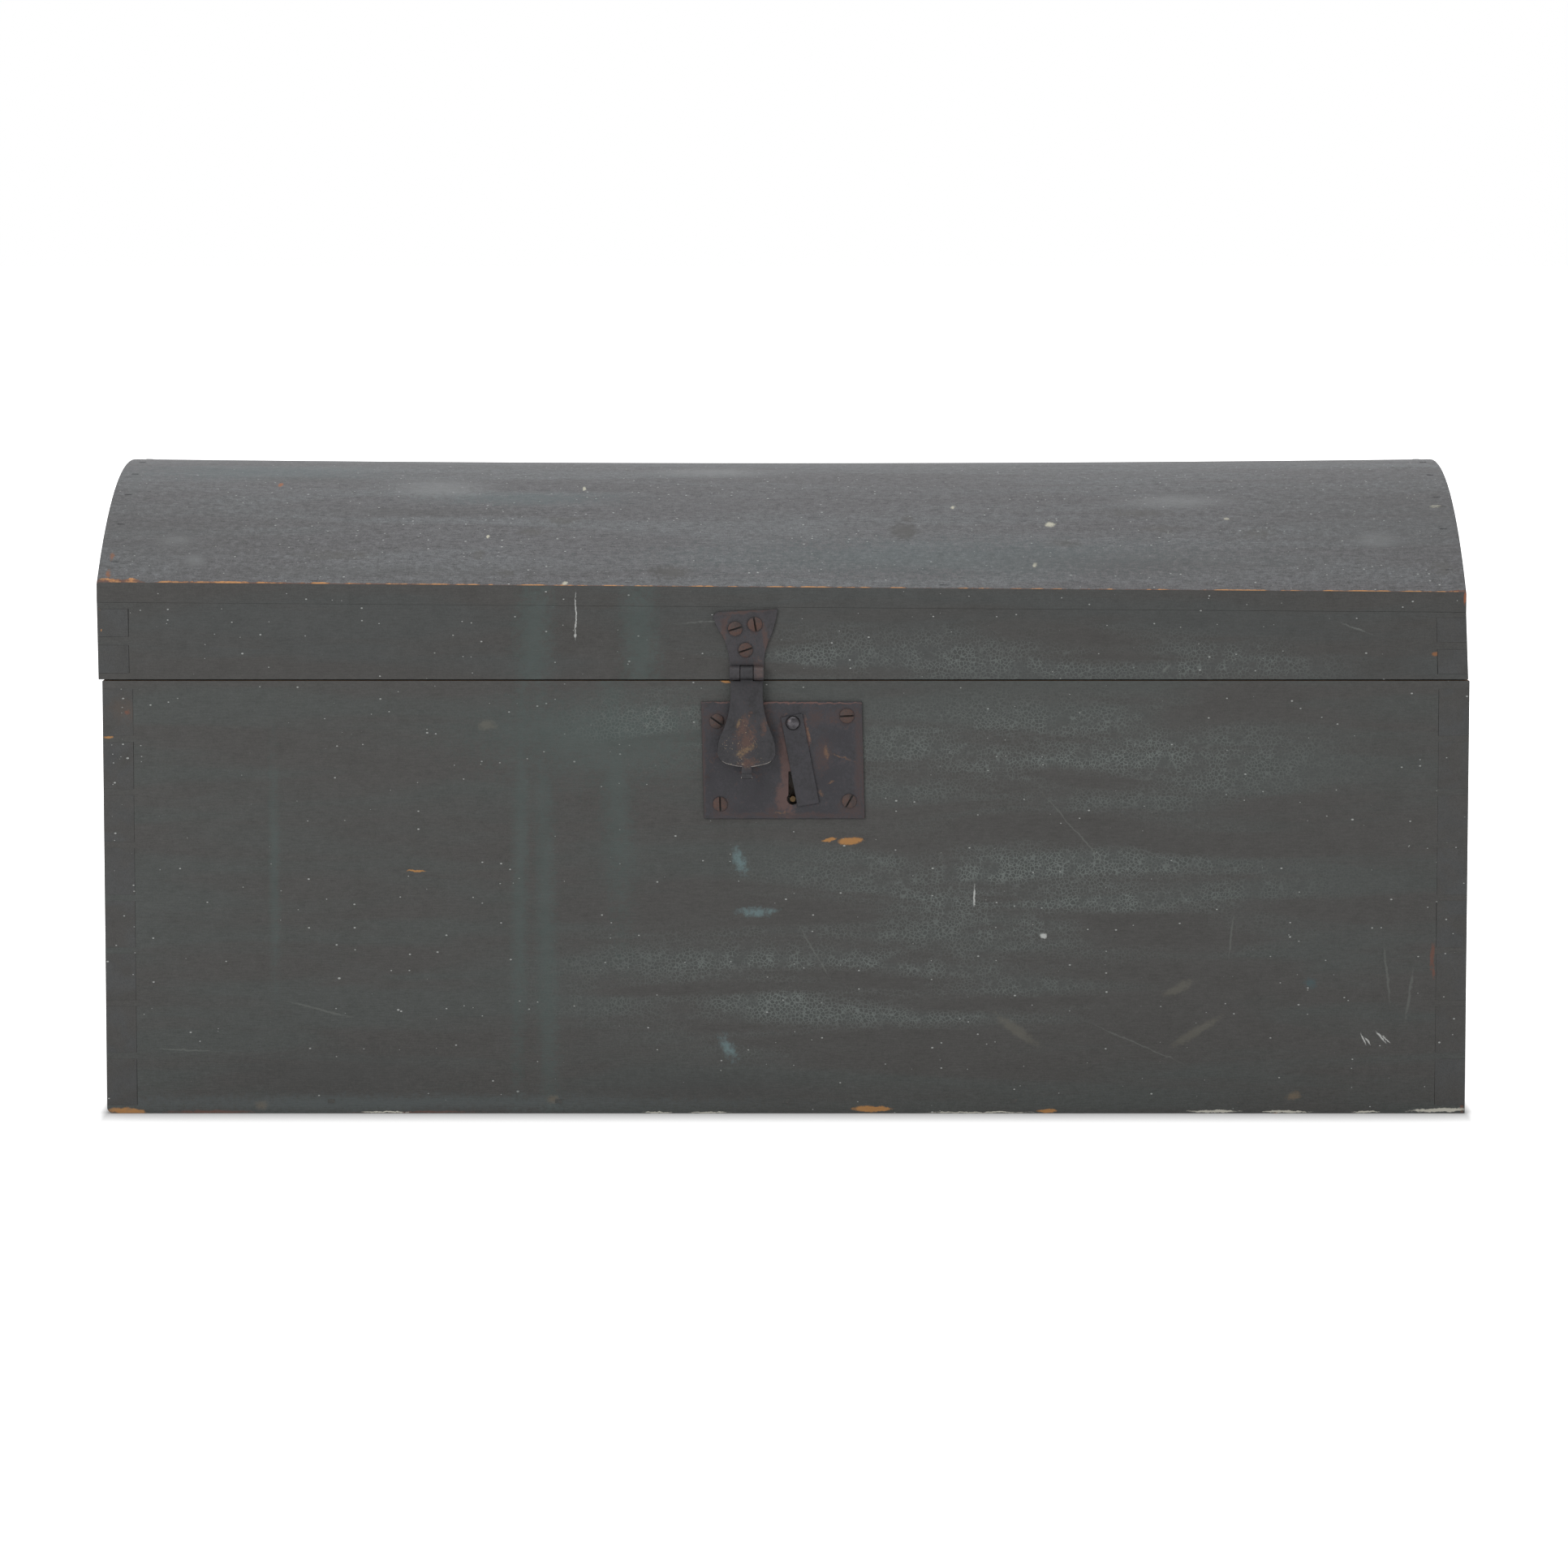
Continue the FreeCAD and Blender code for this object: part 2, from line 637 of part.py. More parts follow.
def tail_board(label, end, profile, joints, bevel):
    """An end board: its face inside the two walls, with a row of tails each way and the rear bevel."""
    body = new_body(label)
    outer_face = end * half_length
    extrude(body, "YZ", outer_face, [profile], board, -end)
    for side in (-1, 1):
        tail = extrude(body, "YZ", outer_face, [joints.tail_shape(side)], board, -end)
        repeat(body, [tail], "Z", joints.pitch, joints.count)
    extrude(body, "YZ", outer_face, [bevel], board, -end, cut=True)
    return body


# ---------------------------------------------------------------------------------------------------
# Hinges: butts let into the back edges, whose bevels meet at the stop
# ---------------------------------------------------------------------------------------------------

hinge_y = half_depth - hinge_inset
hinge_length = read("hinge_length")
hinge_leaf = read("hinge_leaf")
hinge_barrel = read("hinge_barrel")
knuckle_gap = read("knuckle_gap")
knuckle = hinge_length / HINGE_KNUCKLES
hinge_bore = bore_ring(read("hinge_pin"))
barrel_room = hinge_barrel + knuckle_gap


def hinge_half(label, x, side, first_own):
    """One leaf of a butt hinge, below the pin (side -1) or above it (side +1). Every second knuckle
    along the pin is its own, from number first_own."""
    body = new_body(label, x, hinge_y, parting)
    near, far = side * parting_gap / 2, side * (parting_gap / 2 + hinge_leaf)
    plate = [(-read("hinge_leaf_depth"), near), (0, near), (0, far), (-read("hinge_leaf_depth"), far)]
    extrude(body, "YZ", 0, [plate], hinge_length, 0)
    for index in range(1 - first_own, HINGE_KNUCKLES, 2):
        middle = knuckle * (index - (HINGE_KNUCKLES - 1) / 2)
        room = block(-barrel_room, barrel_room, -barrel_room, barrel_room)
        extrude(body, "YZ", middle, [room], knuckle + knuckle_gap, 0, cut=True)
    for index in range(first_own, HINGE_KNUCKLES, 2):
        middle = knuckle * (index - (HINGE_KNUCKLES - 1) / 2)
        extrude(body, "YZ", middle, [(0, 0, hinge_barrel)], knuckle - knuckle_gap, 0)
    extrude(body, "YZ", 0, [hinge_bore], hinge_length * 2, 0, cut=True)
    return body


def hinge_room(label, x):
    """What a hinge needs cut from both back boards: both leaves' thickness, and room for the barrel."""
    body = new_body(label, x, hinge_y, parting)
    deep = parting_gap / 2 + hinge_leaf
    leaves = block(-read("hinge_leaf_depth"), 0, -deep, deep)
    extrude(body, "YZ", 0, [leaves], hinge_length, 0)
    extrude(body, "YZ", 0, [block(-barrel_room, barrel_room, -barrel_room, barrel_room)], hinge_length, 0)
    return body


def hinge_screws(label, x, side):
    """The three screws of one leaf, driven down into the case (-1) or up into the lid (+1)."""
    screw_y = hinge_y - (hinge_barrel + read("hinge_leaf_depth")) / 2
    return [
        flat_screw(
            f"{label}_{index + 1}",
            x + read("hinge_screw_pitch") * (index - 1),
            screw_y,
            parting + side * parting_gap / 2,
            as_size(side * 90),
        )
        for index in range(3)
    ]


hinge_rooms, case_leaf_screws, lid_leaf_screws = [], [], []
for name, end in (("left", -1), ("right", 1)):
    hinge_x = end * read("hinge_spacing") / 2
    lower = hinge_screws(f"{name}_case_screw", hinge_x, -1)
    upper = hinge_screws(f"{name}_lid_screw", hinge_x, 1)
    lower_leaf = hinge_half(f"{name}_lower_leaf", hinge_x, -1, first_own=0)
    upper_leaf = hinge_half(f"{name}_upper_leaf", hinge_x, 1, first_own=1)
    keep(cut_by(f"{name}_hinge_case_leaf", lower_leaf, lower))
    keep(cut_by(f"{name}_hinge_lid_leaf", upper_leaf, upper))
    hinge_rod = new_body(f"{name}_hinge_pin", hinge_x, hinge_y, parting)
    extrude(hinge_rod, "YZ", 0, [(0, 0, read("hinge_pin"))], hinge_length, 0)
    keep(hinge_rod)
    hinge_rooms.append(hinge_room(f"{name}_hinge_room", hinge_x))
    case_leaf_screws += lower
    lid_leaf_screws += upper
hinge_case_screws = keep(group("hinge_case_screws", case_leaf_screws))
hinge_lid_screws = keep(group("hinge_lid_screws", lid_leaf_screws))


# ---------------------------------------------------------------------------------------------------
# Hasp: a leaf on the lid, a pin, and a pear-shaped strap with a staple on its back
# ---------------------------------------------------------------------------------------------------

hasp_x = read("hasp_middle")
hasp_barrel = read("hasp_barrel")
hasp_y = -half_depth - hasp_barrel
hasp_z = parting + read("hasp_barrel_rise")
hasp_knuckle = read("hasp_knuckle")
leaf_foot = read("leaf_foot_half")
outer_knuckle = leaf_foot - hasp_knuckle / 2
hasp_bore = bore_ring(read("hasp_pin"))
LEAF_SCREWS = [(-7.6, 29.6, -18), (5.5, 32.6, 80), (-0.8, 15.3, -19)]  # across, above the pivot, turn


def hasp_frame(label, tilt=None):
    """A body whose origin is the hasp's pivot, tilted with the hasp if a tilt is given."""
    axis = (-1, 0, 0) if tilt else None
    return new_body(label, hasp_x, hasp_y, hasp_z, axis, tilt or 0)


leaf_body = hasp_frame("hasp_leaf_blank")
waist, top_half, clip = read("leaf_waist_half"), read("leaf_top_half"), read("leaf_clip")
lean, left_height = read("leaf_lean"), read("leaf_left_height")
right_waist, left_waist = (waist, read("leaf_waist_height")), (-waist, read("leaf_waist_height"))
right_corner, left_corner = (top_half - lean, read("leaf_right_height")), (-top_half - lean, left_height)
waist_bow, flare_bow = read("leaf_waist_bow"), read("leaf_flare_bow")
leaf_outline = [
    (-leaf_foot, 0),
    (leaf_foot, 0),
    bowed((leaf_foot, hasp_barrel), right_waist, -waist_bow),
    bowed(right_waist, right_corner, flare_bow),
    right_corner,
    (clip - top_half - lean, left_height + clip),
    bowed(left_corner, left_waist, flare_bow),
    bowed(left_waist, (-leaf_foot, hasp_barrel), -waist_bow),
    (-leaf_foot, hasp_barrel),
]
extrude(leaf_body, "XZ", hasp_barrel, [leaf_outline], read("leaf_thickness"), -1)
hasp_room = hasp_barrel + knuckle_gap
middle_room = block(-hasp_room, hasp_room, -hasp_room, hasp_room)
extrude(leaf_body, "YZ", 0, [middle_room], hasp_knuckle + 2 * knuckle_gap, 0, cut=True)
for end in (-1, 1):
    knuckle_middle = end * (hasp_knuckle / 2 + knuckle_gap + leaf_foot) / 2
    barrel = (0, 0, hasp_barrel)
    extrude(leaf_body, "YZ", knuckle_middle, [barrel], outer_knuckle - knuckle_gap, 0)
extrude(leaf_body, "YZ", 0, [hasp_bore], leaf_foot * 4, 0, cut=True)

leaf_face = -half_depth - read("leaf_thickness")
hasp_leaf_screws = keep(
    group(
        "hasp_leaf_screws",
        [
            round_screw(f"leaf_screw_{number}", hasp_x + across, leaf_face, hasp_z + up, as_size(turn))
            for number, (across, up, turn) in enumerate(LEAF_SCREWS, start=1)
        ],
    )
)
keep(cut_by("hasp_leaf", leaf_body, [hasp_leaf_screws]))

hasp_rod = hasp_frame("hasp_pin")
extrude(hasp_rod, "YZ", 0, [(0, 0, read("hasp_pin"))], leaf_foot * 2, 0)
keep(hasp_rod)

hasp_tilt = read("hasp_tilt")
strap_back = hasp_barrel - read("lock_plate_thick") - read("strap_standoff")
strap_front = strap_back - read("strap_thickness")
tab_half, tab_drop, foot_drop = read("tab_half"), read("tab_drop"), read("pear_foot_drop")
strap_top = -hasp_room


def pear_side(side):
    """The corners of one side of the strap, from the top of its neck down to the pear's foot."""
    return [
        (side * read("strap_neck_half"), strap_top),
        (side * read("strap_neck_half"), -read("strap_neck_drop")),
        (side * read("pear_shoulder_half"), -read("pear_shoulder_drop")),
        (side * read("pear_half"), -read("pear_half_drop")),
        (side * read("pear_corner_half"), -read("pear_corner_drop")),
        (side * tab_half, -foot_drop),
    ]


left, right = pear_side(-1), pear_side(1)
side_bows = [-read("neck_bow"), read("shoulder_bow"), read("corner_bow"), read("foot_bow")]
strap_outline = [left[0]]
strap_outline += [bowed(left[k + 1], left[k + 2], bow) for k, bow in enumerate(side_bows)]
strap_outline += [left[5], (-tab_half, -tab_drop), (tab_half, -tab_drop)]
strap_outline += [bowed(right[k + 2], right[k + 1], side_bows[k]) for k in (3, 2, 1, 0)]
strap_outline += [right[1], right[0]]


strap = hasp_frame("hasp_strap", hasp_tilt)
extrude(strap, "XZ", strap_back, [strap_outline], read("strap_thickness"), -1)
neck_top = block(-hasp_knuckle / 2, hasp_knuckle / 2, -read("strap_neck_drop"), 0)
extrude(strap, "XZ", strap_back, [neck_top], read("strap_thickness"), -1)
extrude(strap, "YZ", 0, [(0, 0, hasp_barrel)], hasp_knuckle, 0)
extrude(strap, "YZ", 0, [hasp_bore], hasp_knuckle * 2, 0, cut=True)
rolled_end = (strap_front, -tab_drop, read("tab_roll"))
extrude(strap, "YZ", 0, [rolled_end], read("tab_end_half") * 2, 0)
keep(strap)

bolt_near = hasp_barrel + read("bolt_behind_plate")
bolt_far = bolt_near + read("bolt_thick")
bolt_clear = read("bolt_clear")
staple_drop, staple_half, staple_bar = read("staple_drop"), read("staple_half"), read("staple_bar")
staple_nose = bolt_far + bolt_clear + staple_bar
staple = hasp_frame("hasp_staple", hasp_tilt)
staple_side = block(strap_back, staple_nose, -staple_drop - staple_half, -staple_drop + staple_half)
staple_eye = block(
    bolt_near - bolt_clear,
    bolt_far + bolt_clear,
    -staple_drop - staple_half + staple_bar,
    -staple_drop + staple_half - staple_bar,
)
extrude(staple, "YZ", 0, [staple_side, staple_eye], read("staple_width"), 0)
keep(staple)


# ---------------------------------------------------------------------------------------------------
# Lock: plate, screws, iron case, bolt, spring and key post
# ---------------------------------------------------------------------------------------------------

lock_x = read("lock_middle")
plate_thick = read("lock_plate_thick")
plate_half, plate_height = read("lock_plate_length") / 2, read("lock_plate_height")
plate_top = case_height - read("lock_plate_drop")
plate_middle = plate_top - plate_height / 2
key_x, key_z = read("keyhole_side"), case_height - read("keyhole_drop")
rivet_z = case_height - read("rivet_drop")
staple_z = hasp_z - staple_drop
plate_face = -half_depth - plate_thick

LOCK_SCREWS = [  # to the right of the plate's middle, above it, turn
    (-44.3, 26.2, 35),
    (42.7, 29.8, -3),
    (-42.0, -29.4, 88),
    (44.4, -27.4, -60),
]
lock_plate_screws = keep(
    group(
        "lock_plate_screws",
        [
            round_screw(f"lock_screw_{number}", lock_x + side, plate_face, plate_middle + up, as_size(turn))
            for number, (side, up, turn) in enumerate(LOCK_SCREWS, start=1)
        ],
    )
)

rivet = new_body("keyhole_cover_rivet", key_x, plate_face, rivet_z)
cover_gap, cover_thick = read("cover_gap"), read("cover_thick")
cover_room = 2 * cover_gap + cover_thick
rivet_shank, rivet_head, rivet_dome = read("rivet_shank"), read("rivet_head"), read("rivet_dome")
tapered(rivet, -cover_room, rivet_head, rivet_dome, read("rivet_crown"), -1)
extrude(rivet, "XZ", -cover_room, [shank_ring(rivet_shank)], cover_room + plate_thick, 1)
keep(rivet)

slot_half_width = read("staple_width") / 2 + bolt_clear
slot_half_height = staple_half + 2 * bolt_clear
slot_middle = staple_z - bolt_clear
keyhole_half, keyhole_eye = read("keyhole_half"), read("keyhole_eye")
eye_shoulder = key_z + square_root(keyhole_eye * keyhole_eye - keyhole_half * keyhole_half)
slot_top = key_z + read("keyhole_rise")
plate_blank = new_body("lock_plate_blank")
plate_lean = read("lock_plate_lean")
plate_shape = [
    (lock_x - plate_half + plate_lean, plate_top - plate_height),
    (lock_x + plate_half + plate_lean, plate_top - plate_height),
    (lock_x + plate_half - plate_lean, plate_top),
    (lock_x - plate_half - plate_lean, plate_top),
]
extrude(plate_blank, "XZ", -half_depth, [plate_shape], plate_thick, -1)
staple_slot = block(
    hasp_x - slot_half_width,
    hasp_x + slot_half_width,
    slot_middle - slot_half_height,
    slot_middle + slot_half_height,
)
keyhole_slot = block(key_x - keyhole_half, key_x + keyhole_half, key_z, slot_top)
extrude(plate_blank, "XZ", 0, [staple_slot], None, 0, cut=True)
extrude(plate_blank, "XZ", 0, [keyhole_slot], None, 0, cut=True)
extrude(plate_blank, "XZ", 0, [(key_x, key_z, keyhole_eye)], None, 0, cut=True)
keep(cut_by("lock_plate", plate_blank, [lock_plate_screws, rivet]))

case_half, box_half = read("lock_case_length") / 2, read("lock_case_height") / 2
box_depth, box_wall = read("lock_case_depth"), read("lock_case_wall")
lock_outer = block(
    lock_x - case_half, lock_x + case_half, plate_middle - box_half, plate_middle + box_half
)
lock_inner = block(
    lock_x - case_half + box_wall,
    lock_x + case_half - box_wall,
    plate_middle - box_half + box_wall,
    plate_middle + box_half - box_wall,
)
lock_case = new_body("lock_case")
extrude(lock_case, "XZ", -half_depth, [lock_outer], box_depth, 1)
extrude(lock_case, "XZ", -half_depth, [lock_inner], box_depth - box_wall, 1, cut=True)
keep(lock_case)
mortise = new_body("lock_mortise")
extrude(mortise, "XZ", -half_depth, [lock_outer], box_depth, 1)

post = new_body("key_post", key_x, 0, key_z)
post_length = box_depth - box_wall + plate_thick
extrude(post, "XZ", plate_face, [(0, 0, read("key_post"))], post_length, 1)
keep(post)

bolt_half, bolt_tip = read("bolt_half"), hasp_x + read("staple_width") / 2 + bolt_clear
tail_half, talon_half = read("bolt_tail_half"), read("talon_half")
bolt_foot = slot_top - read("talon_depth") / 2
bolt_face = -half_depth + read("bolt_behind_plate")
bolt_outline = [
    (bolt_tip, staple_z - bolt_half),
    (key_x - tail_half, staple_z - bolt_half),
    (key_x - tail_half, bolt_foot),
    (key_x - talon_half, bolt_foot),
    (key_x - talon_half, bolt_foot + read("talon_depth")),
    (key_x + talon_half, bolt_foot + read("talon_depth")),
    (key_x + talon_half, bolt_foot),
    (key_x + tail_half, bolt_foot),
    (key_x + tail_half, staple_z + bolt_half),
    (bolt_tip, staple_z + bolt_half),
]
bolt = new_body("lock_bolt")
extrude(bolt, "XZ", bolt_face, [bolt_outline], read("bolt_thick"), 1)
keep(bolt)

spring_thick, spring_sag = read("spring_thick"), read("spring_sag")
spring_top = plate_middle + box_half - box_wall
spring_low = staple_z + bolt_half + spring_sag
spring_half, spring_flat = tail_half * 2, read("spring_flat")
spring_run, spring_rise = spring_half - spring_flat, spring_top - spring_low
spring_limb = square_root(spring_run * spring_run + spring_rise * spring_rise)
end_inset = spring_thick * spring_limb / spring_rise
flat_inset = end_inset - spring_thick * spring_run / spring_rise
spring_outline = [
    (key_x - spring_half, spring_top),
    (key_x - spring_flat, spring_low),
    (key_x + spring_flat, spring_low),
    (key_x + spring_half, spring_top),
    (key_x + spring_half - end_inset, spring_top),
    (key_x + spring_flat - flat_inset, spring_low + spring_thick),
    (key_x - spring_flat + flat_inset, spring_low + spring_thick),
    (key_x - spring_half + end_inset, spring_top),
]
spring = new_body("lock_spring")
extrude(spring, "XZ", bolt_face, [spring_outline], read("bolt_thick"), 1)
keep(spring)


# ---------------------------------------------------------------------------------------------------
# Keyhole cover: a strip that swings on its rivet
# ---------------------------------------------------------------------------------------------------

cover = new_body("keyhole_cover", key_x, plate_face - cover_gap, rivet_z, (0, -1, 0), read("cover_tilt"))
cover_half = read("cover_half")
cover_shape = block(-cover_half, cover_half, -read("cover_foot"), read("cover_top"))
extrude(cover, "XZ", 0, [cover_shape], cover_thick, -1)
extrude(cover, "XZ", 0, [(0, 0, rivet_shank + read("pin_fit"))], None, 0, cut=True)
keep(cover)


# ---------------------------------------------------------------------------------------------------
# Handles: a bail in two eared plates on each end
# ---------------------------------------------------------------------------------------------------

handle_z = read("handle_height")
ear_y = read("handle_span") / 2
ear_round, ear_thick = read("ear_round"), read("ear_thick")
bail_half, bail_pin = read("bail_bar") / 2, read("bail_pin")
swell, swell_half = read("bail_swell"), read("bail_swell_half")
arm_y = ear_y + ear_thick / 2 + read("bail_side_gap") + bail_half
pin_end = ear_y - ear_thick / 2 - read("bail_pin_past")
corner, drop = read("bail_corner"), read("bail_drop")
grip_half = arm_y - corner
mount_thick, mount_half = read("mount_thick"), read("mount_half")
mount_up = read("mount_height") / 2
nail_side, nail_head = read("mount_nail_side"), read("mount_nail_head")
grip_low, grip_high = -drop - bail_half, bail_half - drop
bail_outline = [
    (-arm_y - bail_half, 0),
    (-arm_y - bail_half, corner - drop, corner + bail_half),
    (-grip_half, grip_low),
    (-swell_half, grip_low - swell),
    (swell_half, grip_low - swell),
    (grip_half, grip_low, corner + bail_half),
    (arm_y + bail_half, corner - drop),
    (arm_y + bail_half, 0, bail_half),
    (arm_y, bail_half, bail_half),
    (arm_y - bail_half, 0),
    (arm_y - bail_half, corner - drop, bail_half - corner),
    (grip_half, grip_high),
    (swell_half, grip_high + swell),
    (-swell_half, grip_high + swell),
    (-grip_half, grip_high, bail_half - corner),
    (bail_half - arm_y, corner - drop),
    (bail_half - arm_y, 0, bail_half),
    (-arm_y, bail_half, bail_half),
]
end_nails = {}

for name, end in (("left", -1), ("right", 1)):
    end_face = end * half_length
    pivot_x = end_face + end * read("handle_standoff")

    bail = new_body(f"{name}_handle_bail", pivot_x, 0, handle_z)
    extrude(bail, "YZ", 0, [bail_outline], read("bail_bar"), 0)
    bail_end_pin = extrude(bail, "XZ", pin_end, [(0, 0, bail_pin)], arm_y - pin_end, 1)
    mirror(bail, [bail_end_pin], "XZ")
    keep(bail)

    mounts = new_body(f"{name}_mounts_blank", 0, 0, handle_z)
    plate = block(ear_y - mount_half, ear_y + mount_half, -mount_up, mount_up)
    ear = [
        (end_face, -ear_round),
        (pivot_x, -ear_round, end * ear_round),
        (pivot_x + end * ear_round, 0, end * ear_round),
        (pivot_x, ear_round),
        (end_face, ear_round),
    ]
    both = [
        extrude(mounts, "YZ", end_face, [plate], mount_thick, end),
        extrude(mounts, "XZ", ear_y - ear_thick / 2, [ear], ear_thick, 1),
    ]
    mirror(mounts, both, "XZ")
    extrude(mounts, "XZ", 0, [bore_ring(bail_pin, pivot_x)], None, 0, cut=True)

    nails = new_body(f"{name}_handle_nails", 0, 0, handle_z)
    nail_face = end_face + end * mount_thick
    driven = []
    for up in (-1, 1):
        place = (ear_y, up * read("mount_nail_up"), nail_face, -end)
        driven.append(drive(nails, "YZ", *place, nail_head, nail_head, read("mount_nail_head_thick")))
        driven.append(drive(nails, "YZ", *place, nail_side, nail_side, read("mount_nail_length")))
    mirror(nails, driven, "XZ")
    end_nails[name] = nails
    keep(nails)
    keep(cut_by(f"{name}_handle_mounts", mounts, [nails]))


# ---------------------------------------------------------------------------------------------------
# Case
# ---------------------------------------------------------------------------------------------------

case_front = pin_board(
    "case_front_blank", -1, block(-half_depth, -inner_half_depth, 0, case_height), case_joints
)
keep(cut_by("case_front_board", case_front, [mortise, lock_plate_screws, bottom_nails]))

case_back_profile = [
    (inner_half_depth, 0),
    (half_depth, 0),
    (half_depth, case_height - bevel_drop),
    (hinge_y, case_height),
    (inner_half_depth, case_height),
]
case_back = pin_board("case_back_blank", 1, case_back_profile, case_joints)
keep(cut_by("case_back_board", case_back, hinge_rooms + [hinge_case_screws, bottom_nails]))

case_end_profile = block(-inner_half_depth, inner_half_depth, 0, case_height)
beyond = half_depth + hinge_inset
case_bevel = [
    (hinge_y, case_height),
    (beyond, case_height - 2 * bevel_drop),
    (beyond, case_height + bevel_drop),
    (hinge_y, case_height + bevel_drop),
]
for name, end in (("left", -1), ("right", 1)):
    blank = tail_board(f"case_{name}_blank", end, case_end_profile, case_joints, case_bevel)
    keep(cut_by(f"case_{name}_end", blank, [bottom_nails, end_nails[name]]))

for name, low, high in (("front", -inner_half_depth, as_size(0)), ("back", as_size(0), inner_half_depth)):
    blank = new_body(f"bottom_{name}_blank")
    plank = block(low, high, 0, read("bottom_board"))
    extrude(blank, "YZ", 0, [plank], 2 * inner_half_length, 0)
    keep(cut_by(f"bottom_board_{name}", blank, [bottom_nails]))


# ---------------------------------------------------------------------------------------------------
# Lid
# ---------------------------------------------------------------------------------------------------

wall_top = lid_base + lid_wall
lid_front_profile = [
    (-half_depth, lid_base),
    (-inner_half_depth, lid_base),
    (-inner_half_depth, arch_top, stave_radius),
    (-half_depth, wall_top),
]
lid_front = pin_board("lid_front_blank", -1, lid_front_profile, lid_joints)
keep(cut_by("lid_front_board", lid_front, [hasp_leaf_screws, stave_nails]))

lid_back_profile = [
    (inner_half_depth, lid_base),
    (hinge_y, lid_base),
    (half_depth, lid_base + bevel_drop),
    (half_depth, wall_top, stave_radius),
    (inner_half_depth, arch_top),
]
lid_back = pin_board("lid_back_blank", 1, lid_back_profile, lid_joints)
keep(cut_by("lid_back_board", lid_back, hinge_rooms + [hinge_lid_screws, stave_nails]))

lid_end_profile = [
    (-inner_half_depth, lid_base),
    (inner_half_depth, lid_base),
    (inner_half_depth, arch_top, stave_radius),
    (-inner_half_depth, arch_top),
]
lid_bevel = [
    (hinge_y, lid_base),
    (hinge_y, lid_base - bevel_drop),
    (beyond, lid_base - bevel_drop),
    (beyond, lid_base + 2 * bevel_drop),
]
for name, end in (("left", -1), ("right", 1)):
    blank = tail_board(f"lid_{name}_blank", end, lid_end_profile, lid_joints, lid_bevel)
    keep(cut_by(f"lid_{name}_end", blank, [stave_nails]))


def on_arc(radius, angle):
    return (radius * sine(angle), dome_centre + radius * cosine(angle))


arris_z = dome_centre + square_root(dome_radius * dome_radius - half_depth * half_depth)
for index in range(STAVE_COUNT):
    low_angle = stave_angle * index - dome_half_angle
    high_angle = low_angle + stave_angle
    front_inner, front_outer = on_arc(stave_radius, low_angle), on_arc(dome_radius, low_angle)
    back_inner, back_outer = on_arc(stave_radius, high_angle), on_arc(dome_radius, high_angle)
    if index == 0:
        front_inner, front_outer = (-half_depth, wall_top), (-half_depth, arris_z)
    if index == STAVE_COUNT - 1:
        back_inner, back_outer = (half_depth, wall_top), (half_depth, arris_z)
    stave_section = [
        front_outer,
        (front_inner[0], front_inner[1], -stave_radius),
        back_inner,
        (back_outer[0], back_outer[1], dome_radius),
    ]
    blank = new_body(f"stave_{index + 1}_blank")
    extrude(blank, "YZ", 0, [stave_section], length, 0)
    keep(cut_by(f"dome_stave_{index + 1}", blank, [stave_nails]))


# ---------------------------------------------------------------------------------------------------
# Checks and export
# ---------------------------------------------------------------------------------------------------

doc.recompute()

for item in doc.Objects:
    if "Invalid" in item.State or "Error" in item.State:
        raise RuntimeError(f"{item.Label} failed: {item.State}")
    if item.TypeId == "PartDesign::Pocket":
        if item.BaseFeature.Shape.Volume - item.Shape.Volume < 0.01:
            raise RuntimeError(f"{item.Label} in {item.getParentGeoFeatureGroup().Label} cuts nothing")

os.makedirs("parts", exist_ok=True)
for item in nodes:
    if item.Shape.isNull() or not item.Shape.isValid():
        raise RuntimeError(f"{item.Label} has no valid shape")
for item in nodes:
    item.Shape.exportStep(f"parts/{item.Label}.step")
    print(item.Label, len(item.Shape.Solids), round(item.Shape.Volume))
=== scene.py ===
import math

import bmesh
import bpy
from mathutils import Matrix, Vector


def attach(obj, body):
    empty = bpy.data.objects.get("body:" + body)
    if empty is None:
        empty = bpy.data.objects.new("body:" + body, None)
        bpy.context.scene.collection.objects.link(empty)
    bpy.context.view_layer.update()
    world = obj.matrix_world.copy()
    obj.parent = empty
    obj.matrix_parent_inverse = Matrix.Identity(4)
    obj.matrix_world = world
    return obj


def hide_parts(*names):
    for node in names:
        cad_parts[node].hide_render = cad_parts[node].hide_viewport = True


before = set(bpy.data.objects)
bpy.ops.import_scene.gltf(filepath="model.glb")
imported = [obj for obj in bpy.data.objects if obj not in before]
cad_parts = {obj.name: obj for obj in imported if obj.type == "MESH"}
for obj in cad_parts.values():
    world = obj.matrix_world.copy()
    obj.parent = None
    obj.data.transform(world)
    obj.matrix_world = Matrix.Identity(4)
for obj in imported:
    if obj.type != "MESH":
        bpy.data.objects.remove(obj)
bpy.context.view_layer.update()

# ---------------------------------------------------------------------------------------------------
# End boards of the case. Pine planks 20.5 mm thick with hand-cut dovetails, whose end grain shows
# on the front and back of the trunk. They are cut first, because their tails mark out the pins.
# ---------------------------------------------------------------------------------------------------

MM = 0.001
HALF_LENGTH, HALF_DEPTH, CASE_HEIGHT = 457 * MM, 216 * MM, 292 * MM
FRONT, BACK = -216, 216  # places on the paint are given in mm


def colour(code):
    """A hex sRGB colour as linear red, green, blue and alpha."""
    parts = [int(code[i : i + 2], 16) / 255 for i in (1, 3, 5)]
    return [p / 12.92 if p <= 0.04045 else ((p + 0.055) / 1.055) ** 2.4 for p in parts] + [1]


